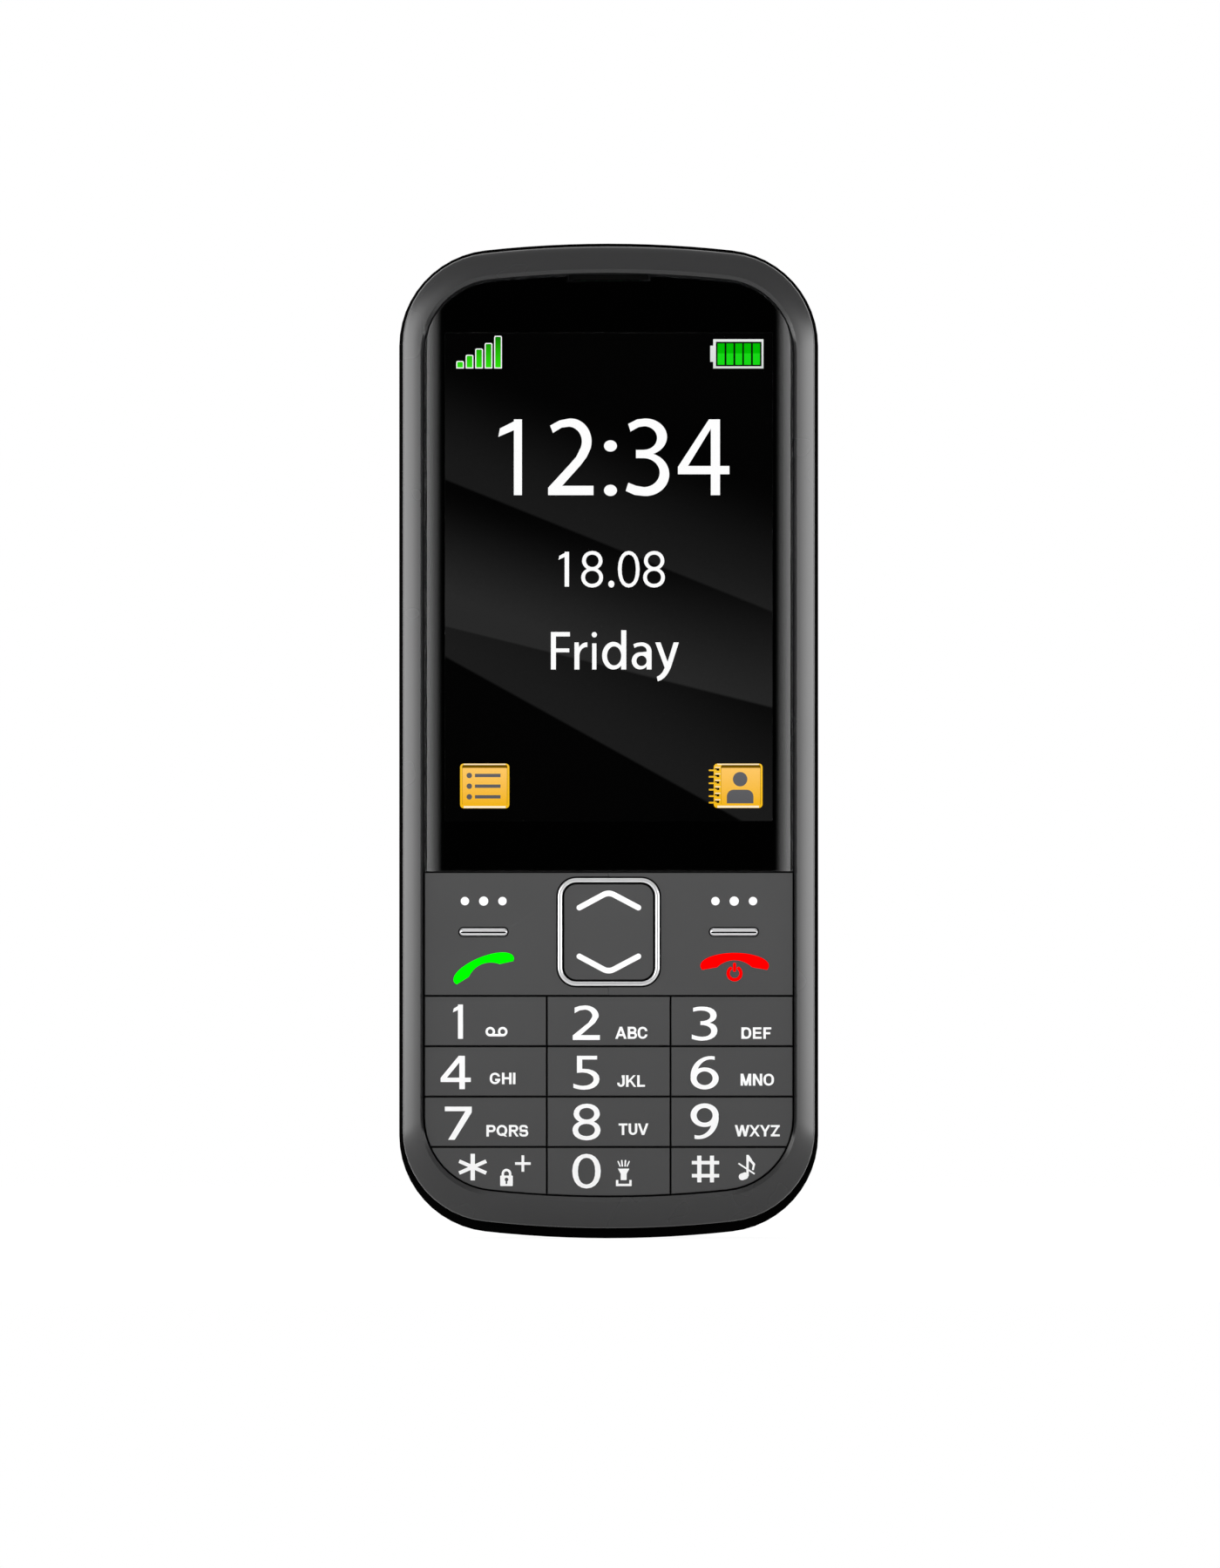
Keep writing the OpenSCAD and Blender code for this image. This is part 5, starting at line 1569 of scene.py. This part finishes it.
# %% Tiles
TILE_ROUND = 0.45
LINE_GAP = 0.02
RIM_LINE = 0.18
FOOT_LINE = 0.28
FACE_FOOT = 0.32
FACE_HEAD = 0.54
FACE_SIDE = 0.29
FACE_STEP = 0.03
FACE_ROUND = 0.12
SHADE_SIDE = 0.25
SHADE_ROUND = 0.2


def tile(name, low, high, inset):
    near, far = low[0] + TILE_ROUND, high[0] - TILE_ROUND
    on_screen(plate(low, high, TILE_ROUND), name + "_edge", "amber_edge")
    rim = plate((near, high[1] - RIM_LINE), (far, high[1] - LINE_GAP))
    on_screen(rim, name + "_rim", "cream_light", 1)
    foot = plate((near, low[1] + LINE_GAP), (far, low[1] + FOOT_LINE))
    on_screen(foot, name + "_foot", "cream_light", 1)
    face_foot = low[1] + FACE_FOOT
    shade = plate((low[0] + inset, face_foot), (high[0] - SHADE_SIDE, high[1] - RIM_LINE), SHADE_ROUND)
    on_screen(shade, name + "_shade", "brown_light", 1)
    face_high = (high[0] - FACE_SIDE, high[1] - FACE_HEAD)
    face = plate((low[0] + inset + FACE_STEP, face_foot), face_high, FACE_ROUND)
    on_screen(face, name + "_face", "amber_light", 2)


print("tiles have corners of", TILE_ROUND, "mm")

# %% [markdown]
# The list over the left soft key has three rows on its tile, each a dot and a line. They lie on the face
# as a layer of their own, because each light ink is one finish.

# %% List sign
LIST_LOW = (-18.43, -8.36)
LIST_HIGH = (-12.32, -2.81)
LIST_INSET = 0.26
LIST_ROWS = (-4.29, -5.62, -6.94)
LIST_DOT = 0.68
LIST_DOT_X = -17.29
LIST_LINE = (-16.59, -13.41)
LIST_HALF = 0.21

tile("list", LIST_LOW, LIST_HIGH, LIST_INSET)
for number, row in enumerate(LIST_ROWS, 1):
    dot = pill((LIST_DOT_X, row), (LIST_DOT_X, row), LIST_DOT)
    on_screen(dot, "list_dot_%d" % number, "grey_light", 3)
    line = plate((LIST_LINE[0], row - LIST_HALF), (LIST_LINE[1], row + LIST_HALF))
    on_screen(line, "list_line_%d" % number, "grey_light", 3)
print("list rows", len(LIST_ROWS))

# %% [markdown]
# The phone book has six holes with wire rings along its spine, each with a glint above it. They are all
# alike, so one loop makes them down the spine.

# %% Phone book sign
BOOK_LOW = (13.03, -8.32)
BOOK_HIGH = (19.08, -2.81)
BOOK_INSET = 0.9
BOOK_RINGS = 6
FIRST_RING = -3.55
RING_PITCH = 0.802
SLOT_SIDES = (13.13, 13.72)
SLOT_HALF = 0.14
TICK_SIDES = (12.5, 13.3)
TICK_DROP = 0.1
TICK_WIDTH = 0.2
GLINT_SIDES = (13.2, 13.85)
GLINT_ROWS = (0.2, 0.32)

tile("book", BOOK_LOW, BOOK_HIGH, BOOK_INSET)
for number in range(1, BOOK_RINGS + 1):
    row = FIRST_RING - (number - 1) * RING_PITCH
    slot = plate((SLOT_SIDES[0], row - SLOT_HALF), (SLOT_SIDES[1], row + SLOT_HALF))
    on_screen(slot, "book_slot_%d" % number, "dark_light", 1)
    tick = pill((TICK_SIDES[0], row - TICK_DROP), (TICK_SIDES[1], row - TICK_DROP), TICK_WIDTH)
    on_screen(tick, "book_tick_%d" % number, "amber_edge", 2)
    glint = plate((GLINT_SIDES[0], row + GLINT_ROWS[0]), (GLINT_SIDES[1], row + GLINT_ROWS[1]))
    on_screen(glint, "book_line_%d" % number, "cream_light", 1)
print("book rings", BOOK_RINGS)

# %% [markdown]
# The contact sign on the book's face is a plain pictogram: a disc over a block with round shoulders. A
# plate with large corners gives the shoulders, and a square one under it makes the foot straight.

# %% Contact sign
DISC = (16.3, -4.75)
DISC_SIZE = 1.8
BLOCK_LOW = (14.65, -7.75)
BLOCK_HIGH = (17.95, -6.05)
BLOCK_ROUND = 0.84
BLOCK_SQUARE = -6.95

on_screen(pill(DISC, DISC, DISC_SIZE), "book_head", "grey_light", 3)
shoulders = [plate(BLOCK_LOW, BLOCK_HIGH, BLOCK_ROUND), plate(BLOCK_LOW, (BLOCK_HIGH[0], BLOCK_SQUARE))]
on_screen(join(shoulders), "book_shoulders", "grey_light", 3)
print("contact disc", DISC_SIZE, "mm")
